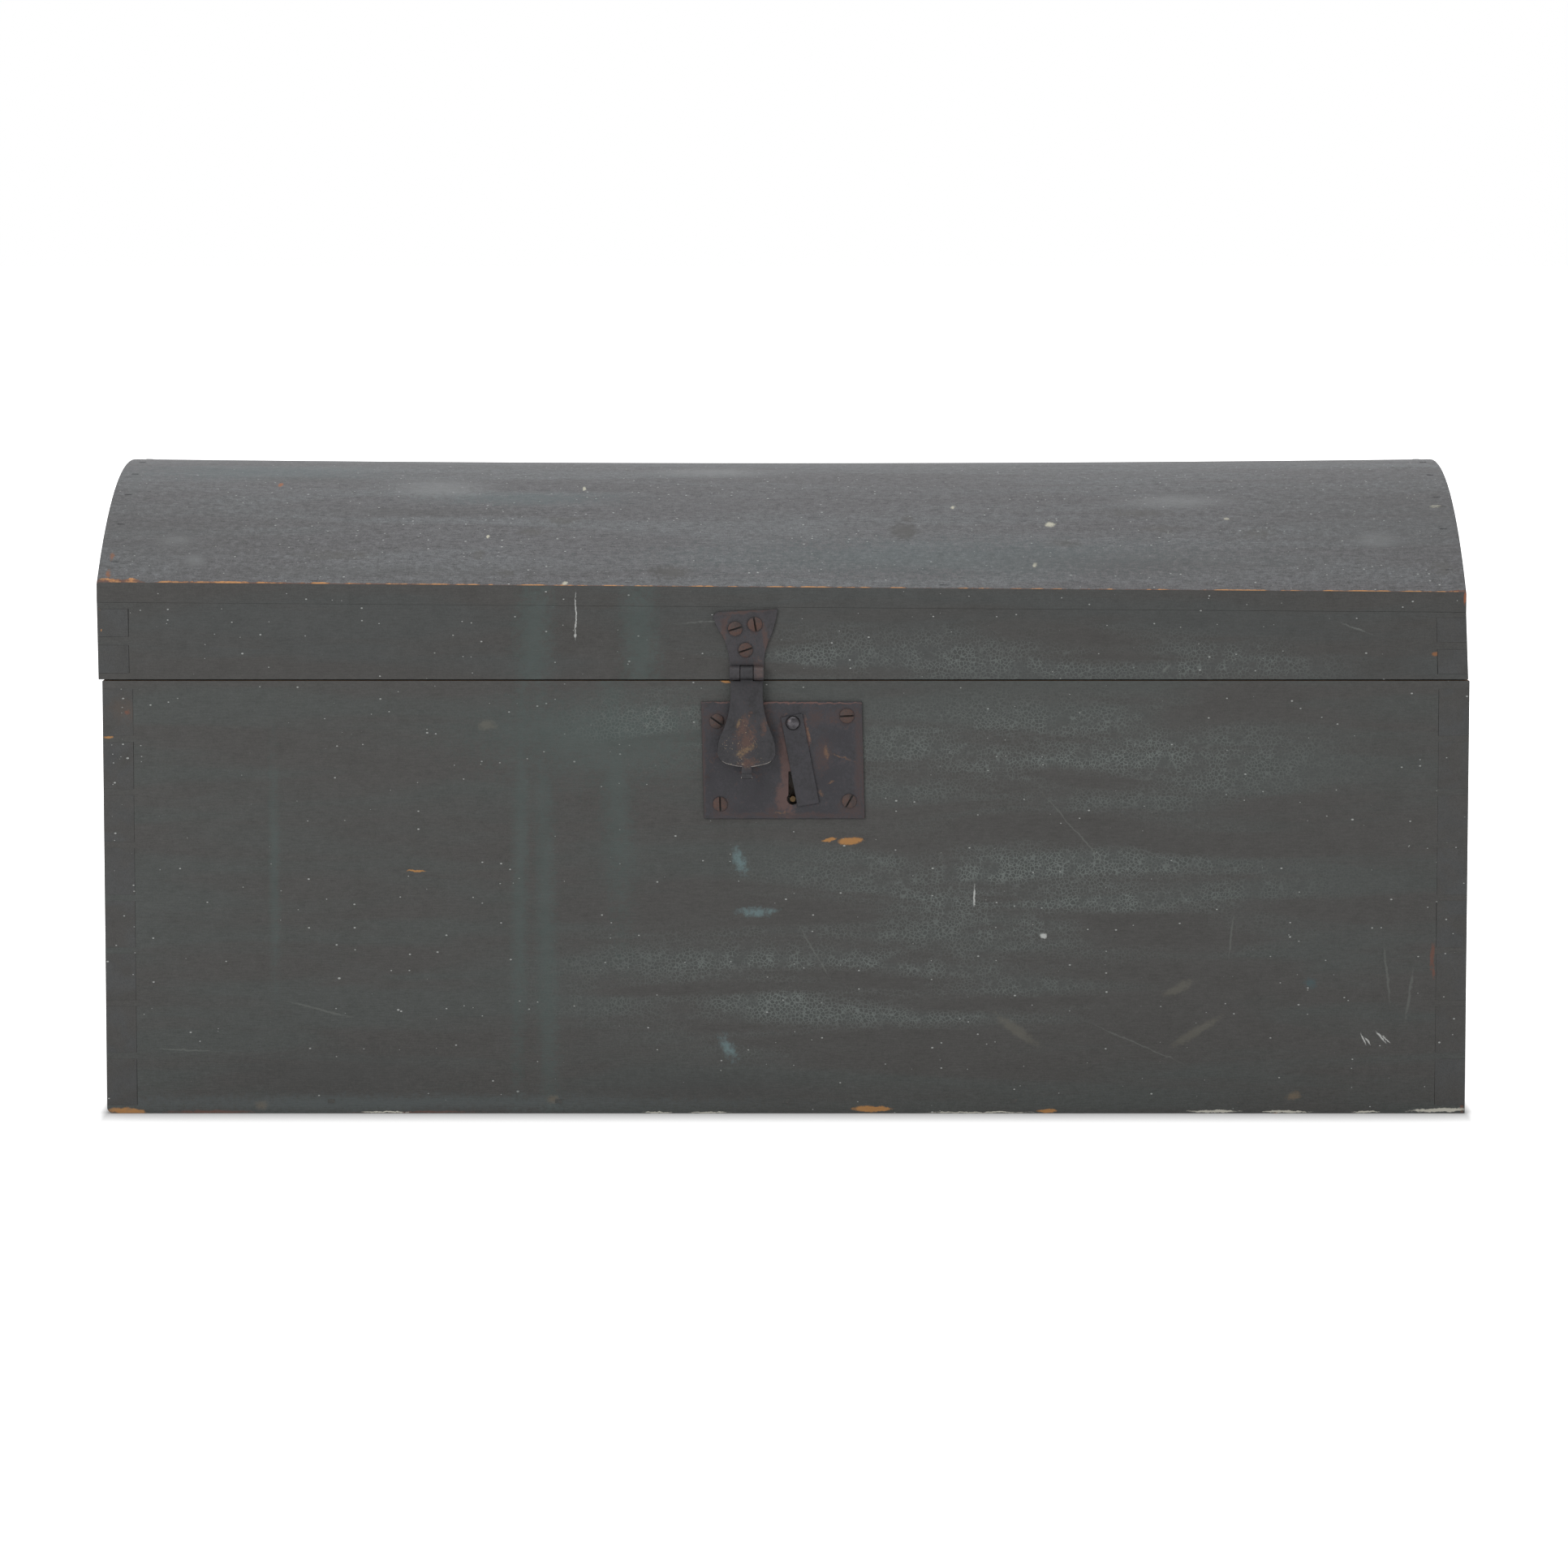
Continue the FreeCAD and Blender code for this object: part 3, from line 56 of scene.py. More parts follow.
def join(material, value, socket):
    """Leads a value into an input. A node stands for its first output, and a plain number, vector or
    colour stays in the input itself."""
    if isinstance(value, bpy.types.Node):
        value = value.outputs[0]
    if isinstance(value, bpy.types.NodeSocket):
        material.node_tree.links.new(value, socket)
    else:
        socket.default_value = value


def add(material, kind, *values, **settings):
    """Adds a shader node. The values go to its inputs in order, and each setting to the input of that
    name, if it starts with a capital, or else to the node itself."""
    made = material.node_tree.nodes.new("ShaderNode" + kind)
    for key, value in settings.items():
        if key[0].islower():
            setattr(made, key, value)
    for key, value in (*enumerate(values), *settings.items()):
        if isinstance(key, int) or key[0].isupper():
            join(material, value, made.inputs[key])
    return made


def emptied(thing):
    """Gives a material or a world an empty node tree."""
    thing.use_nodes = True
    thing.node_tree.nodes.clear()
    return thing


def surface(name):
    """A material that holds only a Principled shader, and that shader."""
    material = emptied(bpy.data.materials.new(name))
    shader = add(material, "BsdfPrincipled")
    add(material, "OutputMaterial", shader)
    return material, shader


def coated(material, shader, shade, rough, relief=None, strength=0, height=0):
    """Gives a surface its colour, its roughness and, where it has one, its relief."""
    join(material, shade, shader.inputs["Base Color"])
    join(material, rough, shader.inputs["Roughness"])
    if relief is not None:
        bump = add(material, "Bump", Height=relief, Strength=strength, Distance=height)
        join(material, bump, shader.inputs["Normal"])
    return material


def overlaid(material, under, over, mask):
    """The colour under, covered by the colour over where the mask is 1."""
    mix = add(material, "Mix", mask, data_type="RGBA", clamp_factor=True)
    # a Mix node's colours are its inputs 6 and 7 and its output 2
    join(material, under, mix.inputs[6])
    join(material, over, mix.inputs[7])
    return mix.outputs[2]


def either(material, mask, other):
    """Two masks as one. The first may still be None."""
    return other if mask is None else add(material, "Math", mask, other, operation="MAXIMUM")


def stirred(material, coords, noise, reach):
    """Coordinates moved about by a noise, so that no mark on them is a neat oval."""
    shift = add(
        material, "VectorMath", noise.outputs["Color"], (0.5, 0.5, 0.5), operation="SUBTRACT"
    )
    return add(
        material, "VectorMath", shift, (reach, reach, reach), coords, operation="MULTIPLY_ADD"
    )


def distance(material, coords, spot, reach, turn=0):
    """How far a point is from a spot, where 1 is its reach along each axis. The spot and the reach are
    in mm, and the turn about Y is in degrees."""
    place = add(
        material, "Mapping", coords, Location=[value * MM for value in spot],
        Rotation=(0, math.radians(turn), 0), Scale=[value * MM for value in reach],
        vector_type="TEXTURE",
    )
    return add(material, "VectorMath", place, operation="LENGTH").outputs["Value"]


def spotted(material, ragged, grit, base, marks):
    """Lays spots on a colour. Each mark is a colour, an edge softness, a strength and its spots:
    x, y, z, half length, half height and turn about Y, in mm and degrees. The softer a mark is, the
    more the grit of the surface breaks it up."""
    least_depth = 6
    for code, soft, strength, spots in marks:
        mask = None
        for x, y, z, half_long, half_high, turn in spots:
            reach = (half_long, max(half_high, least_depth), half_high)
            far = distance(material, ragged, (x, y, z), reach, turn)
            broken = add(material, "Math", grit, 6 * soft, far, operation="MULTIPLY_ADD")
            spot = add(material, "MapRange", broken, 1 + 3.9 * soft, 1 + 2.3 * soft, 0, strength)
            mask = either(material, mask, spot)
        base = overlaid(material, base, colour(code), mask)
    return base


def on_face(y, marks):
    """Marks on an upright face, whose spots are given without their y."""
    return [
        (code, soft, strength, [(x, y, z, *rest) for x, z, *rest in spots])
        for code, soft, strength, spots in marks
    ]


def old_paint(name, grain, tones, crackle, specks, marks, zones=(), arris=None, foot=False, depth=1):
    """Old milk paint on pine, brushed along the grain and handled for 150 years: dull, mottled
    between olive and blue green, crazed in its zones, specked with white, and rubbed off at edges.
    The depth is how strongly its brush marks and mottle show."""
    material, shader = surface(name)
    coords = add(material, "TexCoord").outputs["Object"]
    along, brushed = (
        add(material, "Mapping", coords, Scale=(run, 1, 1) if grain == "X" else (1, run, 1))
        for run in (0.11, 0.25)
    )
    # bands 20 mm high and 180 mm long, brush marks 1.8 mm and hairs 0.8 mm wide, all along the
    # grain, then mottle of 11 mm, grit of 4 mm and tooth of 0.9 mm
    bands = add(material, "TexNoise", along, Scale=48, Detail=4, Distortion=0.5)
    streaks = add(material, "TexNoise", brushed, Scale=560, Detail=3, Roughness=0.7)
    hairs = add(material, "TexNoise", along, Scale=1300, Detail=1)
    mottle = add(material, "TexNoise", coords, Scale=90, Detail=5, Roughness=0.6)
    grit = add(material, "TexNoise", coords, Scale=250, Detail=5, Roughness=0.75)
    tooth = add(material, "TexNoise", coords, Scale=1100, Detail=2, Roughness=0.8)
    bent = stirred(material, coords, mottle, 3 * MM)
    ragged = stirred(material, bent, grit, 2.4 * MM)
    drab, green = tones
    band_mask = add(material, "MapRange", bands, 0.42, 0.6)
    paint = overlaid(material, colour(drab), colour(green), band_mask)
    value = 1
    for texture, share in (
        (bands, 0.14), (streaks, 0.4), (hairs, 0.4), (mottle, 0.34), (grit, 0.6), (tooth, 0.75),
    ):
        centred = add(material, "Math", texture, 0.5, operation="SUBTRACT")
        value = add(material, "Math", centred, share * depth, value, operation="MULTIPLY_ADD")
    paint = add(material, "VectorMath", paint, Scale=value, operation="SCALE")
    # short dark scuffs along the grain, where the tops of the brush marks have caught dirt
    scuffs = add(material, "MapRange", streaks, 0.58, 0.74, 0, 0.3 * depth)
    paint = overlaid(material, paint, colour("#3b3b39"), scuffs)
    # crazing: a net of cells about 2.4 mm wide, pale where dust sits in it, in drifts of the bands
    if crackle:
        cells = add(material, "TexVoronoi", bent, Scale=420, feature="DISTANCE_TO_EDGE")
        lines = add(material, "MapRange", cells, 0.13, 0.03)
        drift = None
        for x, y, z, half_long, half_high in zones:
            far = distance(material, ragged, (x, y, z), (half_long, 60, half_high))
            drift = either(material, drift, add(material, "MapRange", far, 1.2, 0.3))
        cloud = add(material, "MapRange", bands, 0.36, 0.56)
        drift = add(material, "Math", drift, cloud, operation="MULTIPLY")
        haze = add(material, "Math", drift, 0.12 * crackle, operation="MULTIPLY")
        paint = overlaid(material, paint, colour("#545a58"), haze)
        broken = add(material, "MapRange", mottle, 0.34, 0.54, 0, crackle)
        for mask in (broken, drift):
            lines = add(material, "Math", lines, mask, operation="MULTIPLY")
        paint = overlaid(material, paint, colour("#747a77"), lines)
    # flecks of white limewash: a cell of each pitch in mm may hold one, up to that size in radius
    flecked = add(material, "Mapping", coords, Scale=(0.65, 1, 1))
    for pitch, size, share in ((4, 0.56, 0.9 * specks), (13, 0.72, 0.1 + 0.3 * specks)):
        flecks = add(material, "TexVoronoi", flecked, Scale=1000 / pitch)
        chance = add(material, "SeparateColor", flecks.outputs["Color"])
        radius = add(material, "MapRange", chance, 1 - share, 1, 0.2 * size / pitch, size / pitch)
        picked = add(material, "Math", chance, 1 - share, operation="GREATER_THAN")
        gap = add(material, "Math", radius, flecks, operation="SUBTRACT")
        mask = add(material, "MapRange", gap, 0, 0.2 * size / pitch, 0, 0.78)
        mask = add(material, "Math", mask, picked, operation="MULTIPLY")
        paint = overlaid(material, paint, colour("#c6c9c6"), mask)
    # rubbed edges: how far a point is from the nearest outer corner line, against a ragged limit
    split = add(material, "SeparateXYZ", coords)
    side = add(material, "Math", split.outputs["X"], operation="ABSOLUTE")
    face = add(material, "Math", split.outputs["Y"], operation="ABSOLUTE")
    from_side = add(material, "Math", HALF_LENGTH, side, operation="SUBTRACT")
    from_face = add(material, "Math", HALF_DEPTH, face, operation="SUBTRACT")
    edge = add(material, "Math", from_side, from_face, operation="MAXIMUM")
    rub_limit = add(material, "MapRange", mottle, 0.66, 0.86, 0, 1 * MM)
    if foot:
        low = add(material, "Math", from_face, from_side, operation="MINIMUM")
        low = add(material, "Math", low, split.outputs["Z"], operation="MAXIMUM")
        edge = add(material, "Math", edge, low, operation="MINIMUM")
    bare = add(material, "Math", edge, rub_limit, operation="LESS_THAN")
    if arris:
        # the arris of the dome is rubbed to a thin line of wood, broad and bright at its left end
        height, fall = arris
        line = add(
            material, "Math", split.outputs["X"], fall / HALF_LENGTH, split.outputs["Z"],
            operation="MULTIPLY_ADD",
        )
        above = add(material, "Math", line, height, operation="SUBTRACT")
        above = add(material, "Math", above, operation="ABSOLUTE")
        far = add(material, "Math", above, from_face, operation="MAXIMUM")
        width = 0
        for start, end, low, high in (
            (-0.434, -0.427, 2, 0.05), (-0.424, -0.412, 0, 0.55), (-0.36, -0.2, 0.45, 0),
            (0.44, 0.455, 0, 2),
        ):
            part = add(material, "MapRange", split.outputs["X"], start, end, low, high)
            width = add(material, "Math", part, width, operation="ADD")
        limit = add(material, "MapRange", mottle, 0.36, 0.66, 0.7 * MM, 1.7 * MM)
        limit = add(material, "Math", limit, width, operation="MULTIPLY")
        bare = either(material, bare, add(material, "Math", far, limit, operation="LESS_THAN"))
    grain_mask = add(material, "MapRange", mottle, 0.46, 0.57)
    wood = overlaid(material, colour("#5f3a2b"), colour("#cb9058"), grain_mask)
    paint = overlaid(material, paint, wood, bare)
    paint = spotted(material, ragged, grit, paint, marks)
    shader.inputs["Base Color"].default_value = (1, 1, 1, 1)
    rough = add(material, "MapRange", mottle, 0.3, 0.7, 0.56, 0.72)
    relief = add(material, "Math", streaks, 0.8, hairs, operation="MULTIPLY_ADD")
    return coated(material, shader, paint, rough, relief, 0.3, 0.3 * MM)


def bare_pine(name, grain):
    """Unpainted pine, planed by hand and darkened by age: rings about 8 mm apart, stains and fibre."""
    material, shader = surface(name)
    coords = add(material, "TexCoord").outputs["Object"]
    run = (0.05, 1, 1) if grain == "X" else (1, 0.05, 1)
    along = add(material, "Mapping", coords, Scale=run)
    rings = add(material, "TexNoise", along, Scale=130, Detail=4, Distortion=0.8)
    fibre = add(material, "TexNoise", along, Scale=900, Detail=2)
    stain = add(material, "TexNoise", coords, Scale=9, Detail=4)
    wood = colour("#a07c52")
    for code, mask in (
        ("#7c5835", (rings, 0.4, 0.62)),
        ("#5a4129", (stain, 0.45, 0.75, 0, 0.6)),
        ("#66482c", (fibre, 0.5, 0.8, 0, 0.4)),
    ):
        wood = overlaid(material, wood, colour(code), add(material, "MapRange", *mask))
    return coated(material, shader, wood, 0.78, fibre, 0.25, 0.3 * MM)


def sooty_joint_with_painted_shade(name, paint_code, open_share, ends=None):
    """The line of an old joint: black in places, for dirt and for the painted shade of an open crack,
    filled with paint in others. A joint with `ends` is black only beyond that distance from the middle
    of the trunk."""
    material, shader = surface(name)
    coords = add(material, "TexCoord").outputs["Object"]
    drift = add(material, "TexNoise", coords, Scale=26, Detail=3)
    mask = add(material, "MapRange", drift, open_share + 0.06, open_share - 0.06)
    if ends:
        side = add(material, "Math", add(material, "SeparateXYZ", coords), operation="ABSOLUTE")
        near = add(material, "MapRange", side, ends - 0.02, ends + 0.03)
        mask = add(material, "Math", mask, near, operation="MULTIPLY")
    # the black is dirt and the painted shade of an open crack
    shade = overlaid(material, colour(paint_code), colour("#171616"), mask)
    return coated(material, shader, shade, 0.85)


def merged(node):
    """A piece's mesh with its triangles joined into whole faces."""
    mesh = bmesh.new()
    mesh.from_mesh(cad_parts[node].data)
    bmesh.ops.remove_doubles(mesh, verts=mesh.verts, dist=3e-6)
    bmesh.ops.dissolve_limit(
        mesh, angle_limit=math.radians(0.6), verts=mesh.verts, edges=mesh.edges, delimit=set()
    )
    return mesh


def rubbed(mesh, width, steps=2, keep=None):
    """Rounds a piece's sharp edges, all of them or those that keep() accepts, and returns the new
    faces."""
    sharp = [
        edge
        for edge in mesh.edges
        if edge.is_manifold
        and edge.calc_face_angle(0) > math.radians(32)
        and (keep is None or keep(edge))
    ]
    made = bmesh.ops.bevel(
        mesh,
        geom=sharp,
        offset=width,
        offset_type="OFFSET",
        profile_type="SUPERELLIPSE",
        segments=steps,
        profile=0.5,
        affect="EDGES",
        clamp_overlap=False,
        material=-1,
    )
    return set(made["faces"])


SHARP_ANGLE, BROAD_FACE = math.radians(27), 40 * MM * MM


def placed(name, mesh, materials, body, slot, *nodes):
    """Makes a finished mesh an object that rides on a body and stands for the CAD pieces."""
    data = bpy.data.meshes.new(name)
    mesh.to_mesh(data)
    mesh.free()
    for material in materials:
        data.materials.append(material)
    data.shade_smooth()
    data.set_sharp_from_angle(angle=SHARP_ANGLE)
    if slot == "painted_pine":
        # the flat of a board is shaded flat right up to its rounded edges
        normals = [tuple(corner.vector) for corner in data.corner_normals]
        for face in (face for face in data.polygons if face.area > BROAD_FACE):
            for loop in face.loop_indices:
                normals[loop] = tuple(face.normal)
        data.normals_split_custom_set(normals)
    piece = bpy.data.objects.new(name, data)
    bpy.context.scene.collection.objects.link(piece)
    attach(piece, body)
    if nodes:
        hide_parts(*nodes)
    return piece


TOUCH, TAIL_REACH = 0.05 * MM, 30 * MM


def on_rim(edge, low, high):
    """An outer edge that hands and floors have rubbed: an upright corner, the foot or the top."""
    spots = [vert.co for vert in edge.verts]
    return (
        all(abs(spot.x) > HALF_LENGTH - TOUCH and abs(spot.y) > HALF_DEPTH - TOUCH for spot in spots)
        or all(spot.z < low + TOUCH for spot in spots)
        or all(spot.z > high - TOUCH for spot in spots)
    )


def on_joint(edge, low, high, upright):
    """An edge where two boards meet flush on the outside, either an upright one or a level one."""
    spots = [vert.co for vert in edge.verts]
    outside = all(
        (abs(spot.x) > HALF_LENGTH - TOUCH or abs(spot.y) > HALF_DEPTH - TOUCH)
        and abs(spot.x) > HALF_LENGTH - TAIL_REACH
        for spot in spots
    )
    stands = abs(spots[0].z - spots[1].z) > 0.7 * edge.calc_length()
    return outside and stands == upright and not on_rim(edge, low, high)


def left_foot(edge):
    """The lower corner at the left, which has been kicked and dragged."""
    return all(vert.co.z < TOUCH and vert.co.x < TOUCH - HALF_LENGTH for vert in edge.verts)


def worn_board(mesh, low, high, gap, foot=0):
    """Rounds a board's rim, opens its upright joints by a gap and its level ones by a hair, and gives
    its faces their slots: 0 paint, 1 bare wood, 2 an upright joint, 3 a level one."""
    if foot:
        rubbed(mesh, foot, 4, left_foot)
    rubbed(mesh, 0.42 * MM, 2, lambda edge: on_rim(edge, low, high))
    upright = rubbed(mesh, gap, 2, lambda edge: on_joint(edge, low, high, True))
    level = rubbed(mesh, 0.09 * MM, 2, lambda edge: on_joint(edge, low, high, False))
    for vert in mesh.verts:
        vert.co.z = max(vert.co.z, low)
    for face in mesh.faces:
        spot = face.calc_center_median()
        outside = abs(spot.x) > HALF_LENGTH - 1.2 * MM or abs(spot.y) > HALF_DEPTH - 1.2 * MM
        face.material_index = 0 if outside else 1
        if outside and face in upright:
            face.material_index = 2
        elif outside and face in level:
            face.material_index = 3


case_end_paint = old_paint(
    "Old grey-green milk paint on pine ends", "Y", ("#42413f", "#434444"), 0, 0.6,
    on_face(FRONT, [
        ("#5a4a3e", 0.6, 0.3, [(-442, 272, 9, 6, 20)]),
        ("#8a5540", 0.4, 0.8, [(-449, 290.8, 6, 1.2, 0)]),
        ("#7c4a34", 0.5, 0.6, [(-441, 270.7, 1.4, 1.2, 0)]),
    ]),
    foot=True,
)
end_pine = bare_pine("Aged planed pine, end boards", "Y")
case_joint = sooty_joint_with_painted_shade("Dirt in the upright lines of the dovetails", "#343433", 0.66)
case_filled = sooty_joint_with_painted_shade("Paint over the level lines of the dovetails", "#4e4f4d", 0.3)
for side in ("left", "right"):
    board = merged(f"case_{side}_end")
    worn_board(board, 0, CASE_HEIGHT, 0.4 * MM, 4 * MM)
    placed(
        f"case_{side}_end_worn", board, [case_end_paint, end_pine, case_joint, case_filled],
        "case", "painted_pine", f"case_{side}_end",
    )

# ---------------------------------------------------------------------------------------------------
# Front and back boards of the case. Wide pine planks whose narrow pins fit between the tails, glued
# and painted over. The front shows blue drips, crazed drifts, scratches and chips down to the wood.
# ---------------------------------------------------------------------------------------------------

front_marks = on_face(FRONT, [
    ("#4b5754", 0.9, 0.55, [
        (-178, 170, 4, 120, 1), (-161, 130, 5, 140, -1), (-114, 230, 8, 70, -2),
        (-343, 165, 2.5, 55, 0), (-120, 252, 60, 20, 0),
    ]),
    ("#3f5a5f", 0.8, 0.5, [(352, 88, 3, 2.6, 0)]),
    ("#7f9a9d", 1, 0.55, [(-31, 171, 2.6, 6, -20), (-39, 44.5, 2.6, 6, -28), (-20, 136.5, 8, 2, 0)]),
    ("#3c3d3c", 0.9, 0.5, [(-301.3, 28, 60, 12, 0), (-61.3, 20, 60, 8, 0)]),
    ("#d4d6d3", 0.35, 0.85, [
        (172.7, 120.3, 1.9, 1.7, 0), (126.4, 147.7, 0.5, 6, 0), (388, 50.5, 0.5, 3.8, -24),
        (391, 49, 0.4, 3, -35), (400, 51.6, 0.6, 4.4, -38), (403.5, 50, 0.4, 3.4, -50),
    ]),
    ("#6b695f", 0.5, 0.5, [
        (154.6, 56.6, 15, 3, 35), (264, 85, 9, 2.6, -25), (276, 55.5, 16, 2.4, -32),
        (-200, 262, 5, 3, 0),
    ]),
    ("#757974", 0.5, 0.4, [
        (194.7, 190, 30, 0.45, 49), (236.7, 47, 28, 0.45, 24), (-311.3, 70, 20, 0.6, 14),
        (-402.3, 43, 17, 0.5, 3), (298.7, 120, 0.6, 12, 6), (418.7, 80, 0.8, 14, 8),
        (403.7, 95, 0.7, 16, -6), (18.7, 110, 16, 0.5, 60),
    ]),
    ("#b9864f", 0.25, 0.95, [
        (29.1, 185, 4.4, 1, -8), (43.3, 184.3, 7.5, 2.4, -4), (-248, 164.2, 5.5, 0.6, 0),
        (58, 3, 12, 1.8, 0), (-443, 1.4, 12, 2, 4), (-453, 254.3, 3, 0.9, 0),
        (-40.3, 291.4, 3.2, 0.9, 8), (176, 1.6, 6, 1.2, 0),
    ]),
    ("#70483a", 0.6, 0.7, [
        (434, 106, 1.2, 7, 4), (435, 96, 0.8, 4, 0), (455, 12, 1, 12, 0), (-388, 0.9, 22, 0.9, 0),
        (-250, 0.8, 30, 0.6, 0),
    ]),
    ("#7a6a55", 0.7, 0.6, [
        (-157.3, 9.2, 3, 2.2, 0), (-353.3, 5.6, 3, 2.2, 0), (341.7, 11.6, 4, 2, -20),
    ]),
    ("#5b6263", 0.9, 0.5, [(-280, 7, 160, 4, 0)]),
    ("#d9d6c9", 0.3, 0.92, [
        (440, 2.2, 19, 1.1, -2), (336.7, 1, 15, 0.6, 0), (288.7, 1.3, 14, 0.8, 0),
        (390.7, 1, 8, 0.5, 0), (-86.3, 0.6, 8, 0.4, 0), (-51.3, 0.5, 12, 0.4, 0), (-270, 1, 14, 0.5, 0),
        (130, 0.6, 30, 0.45, 0),
    ]),
])
case_front_paint = old_paint(
    "Old grey-green milk paint, case front", "X", ("#444341", "#444745"), 1, 0.34, front_marks,
    zones=[
        (190, FRONT, 240, 190, 45), (170, FRONT, 150, 190, 60), (40, FRONT, 90, 200, 55),
        (-80, FRONT, 260, 70, 30),
    ],
    foot=True, depth=1.25,
)
case_back_paint = old_paint(
    "Old grey-green milk paint, case back", "X", ("#4a4948", "#4a4e4c"), 0.8, 0.25,
    on_face(BACK, [
        ("#8b8f8a", 0.8, 0.5, [(-150, 160, 30, 0.6, 30), (210, 90, 22, 0.6, -20)]),
        ("#7c4a34", 0.4, 0.9, [(300, 1.4, 14, 1.4, 0), (-210, 1.2, 10, 1.2, 0)]),
    ]),
    zones=[(-150, BACK, 170, 190, 60), (220, BACK, 110, 150, 40)],
    foot=True, depth=1.25,
)
long_pine = bare_pine("Aged planed pine, long boards", "X")
for side, paint in (("front", case_front_paint), ("back", case_back_paint)):
    board = merged(f"case_{side}_board")
    worn_board(board, 0, CASE_HEIGHT, 0.4 * MM, 4 * MM)
    placed(
        f"case_{side}_board_worn", board, [paint, long_pine, case_joint, case_filled],
        "case", "painted_pine", f"case_{side}_board",
    )

# ---------------------------------------------------------------------------------------------------
# Bottom of the case. Two rough pine boards let in between the walls and nailed through them with
# cut brads, whose heads were painted over with the case and now show through as brown dots.
# ---------------------------------------------------------------------------------------------------

for name in ("bottom_board_front", "bottom_board_back"):
    board = merged(name)
    rubbed(board, 0.6 * MM)
    placed(f"{name}_worn", board, [long_pine], "case", "bare_pine", name)


def iron(name, base, rust, amount, rough=0.55, metal=0.5, marks=(), crumb_spots=()):
    """Wrought iron, blackened at the forge and handled smooth, with thin brown rust. Pale crumbs of
    old paint cling to it at the crumb spots."""
    material, shader = surface(name)
    coords = add(material, "TexCoord").outputs["Object"]
    broad = add(material, "TexNoise", coords, Scale=130, Detail=6, Roughness=0.7)
    fine = add(material, "TexNoise", coords, Scale=520, Detail=4, Roughness=0.7)
    ragged = stirred(material, coords, broad, 6 * MM)
    crust = add(material, "Math", fine, 0.35, broad, operation="MULTIPLY_ADD")
    rust_mask = add(material, "MapRange", crust, 0.86 - amount, 1 - amount, 0, 0.7)
    shade = overlaid(material, colour(base), colour(rust), rust_mask)
    value = add(material, "MapRange", crust, 0.5, 0.86, 0.5, 1.5)
    shade = add(material, "VectorMath", shade, Scale=value, operation="SCALE")
    shade = spotted(material, ragged, fine, shade, marks)
    if crumb_spots:
        # crumbs up to 0.7 mm across, about 1 mm apart
        pebbles = add(material, "TexVoronoi", ragged, Scale=950)
        pick = add(material, "SeparateColor", pebbles.outputs["Color"])
        reach = add(material, "MapRange", pick, 0.45, 1, 0, 0.36)
        inside = add(material, "Math", reach, pebbles, operation="SUBTRACT")
        inside = add(material, "MapRange", inside, 0, 0.08)
        black, white = (0, 0, 0, 1), "#ffffff"
        zone = spotted(material, ragged, fine, black, [(white, 0.7, 1, crumb_spots)])
        inside = add(material, "Math", inside, zone, operation="MULTIPLY")
        shade = overlaid(material, shade, colour("#a79a80"), inside)
    shader.inputs["Metallic"].default_value = metal
    worn = add(material, "MapRange", crust, 0.5, 0.9, rough - 0.1, rough + 0.2)
    return coated(material, shader, shade, worn, crust, 0.45, 0.4 * MM)


def dressed(material, slot, *names):
    """Gives a small piece that keeps its CAD mesh its finish."""
    for name in names:
        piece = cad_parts[name]
        piece.data.materials.clear()
        piece.data.materials.append(material)


painted_brads = iron("Cut brads under old paint", "#494a48", "#594a40", 0.16, 0.62, 0)
dressed(painted_brads, "painted_nails", "bottom_nails")

# ---------------------------------------------------------------------------------------------------
# Bail handles. Forged iron bars bent to a U, whose pins turn in pairs of eared plates. Each plate is
# held to its end board by two square-shanked nails with hammered heads.
# ---------------------------------------------------------------------------------------------------

forged_iron = iron("Forged iron, brown with age", "#3b393a", "#5a3a2b", 0.22)
for side in ("left", "right"):
    bail = merged(f"{side}_handle_bail")
    rubbed(bail, 1.3 * MM, 3)
    placed(f"{side}_bail_worn", bail, [forged_iron], f"{side}_bail", "aged_iron", f"{side}_handle_bail")
    ears = merged(f"{side}_handle_mounts")
    rubbed(ears, 0.4 * MM)
    placed(f"{side}_ears_worn", ears, [forged_iron], "case", "aged_iron", f"{side}_handle_mounts")
rusty_nails = iron("Rusty wrought nails", "#4a3a33", "#6b3f2c", 0.34, 0.65, 0.35)
for side in ("left", "right"):
    nails = merged(f"{side}_handle_nails")
    rubbed(nails, 0.35 * MM)
    placed(
        f"{side}_nails_worn", nails, [rusty_nails], "case", "rusted_screws", f"{side}_handle_nails"
    )

# ---------------------------------------------------------------------------------------------------
# Butt hinges. Two plain iron hinges on the back, each with two leaves, three screws in each leaf and
# a loose pin. They are let into the edges of case and lid, so only the barrels show when shut.
# ---------------------------------------------------------------------------------------------------

hinge_iron = iron("Rolled iron hinges, dark with rust", "#3d3a39", "#5e3b2a", 0.28)
screw_rust = iron("Iron screws under brown rust", "#483c39", "#503b34", 0.24, 0.6, 0.3)
for side in ("left", "right"):
    for part in ("case_leaf", "lid_leaf"):
        leaf = merged(f"{side}_hinge_{part}")
        rubbed(leaf, 0.2 * MM, 1)
        placed(
            f"{side}_{part}_worn", leaf, [hinge_iron], part.split("_")[0], "aged_iron",
            f"{side}_hinge_{part}",
        )
    dressed(hinge_iron, "aged_iron", f"{side}_hinge_pin")
dressed(screw_rust, "rusted_screws", "hinge_case_screws", "hinge_lid_screws")

# ---------------------------------------------------------------------------------------------------
# Inside of the lock. A folded iron case behind the plate holds the bolt, its flat spring and the
# brass post that a pipe key slides over. Dull steel, with old oil.
# ---------------------------------------------------------------------------------------------------

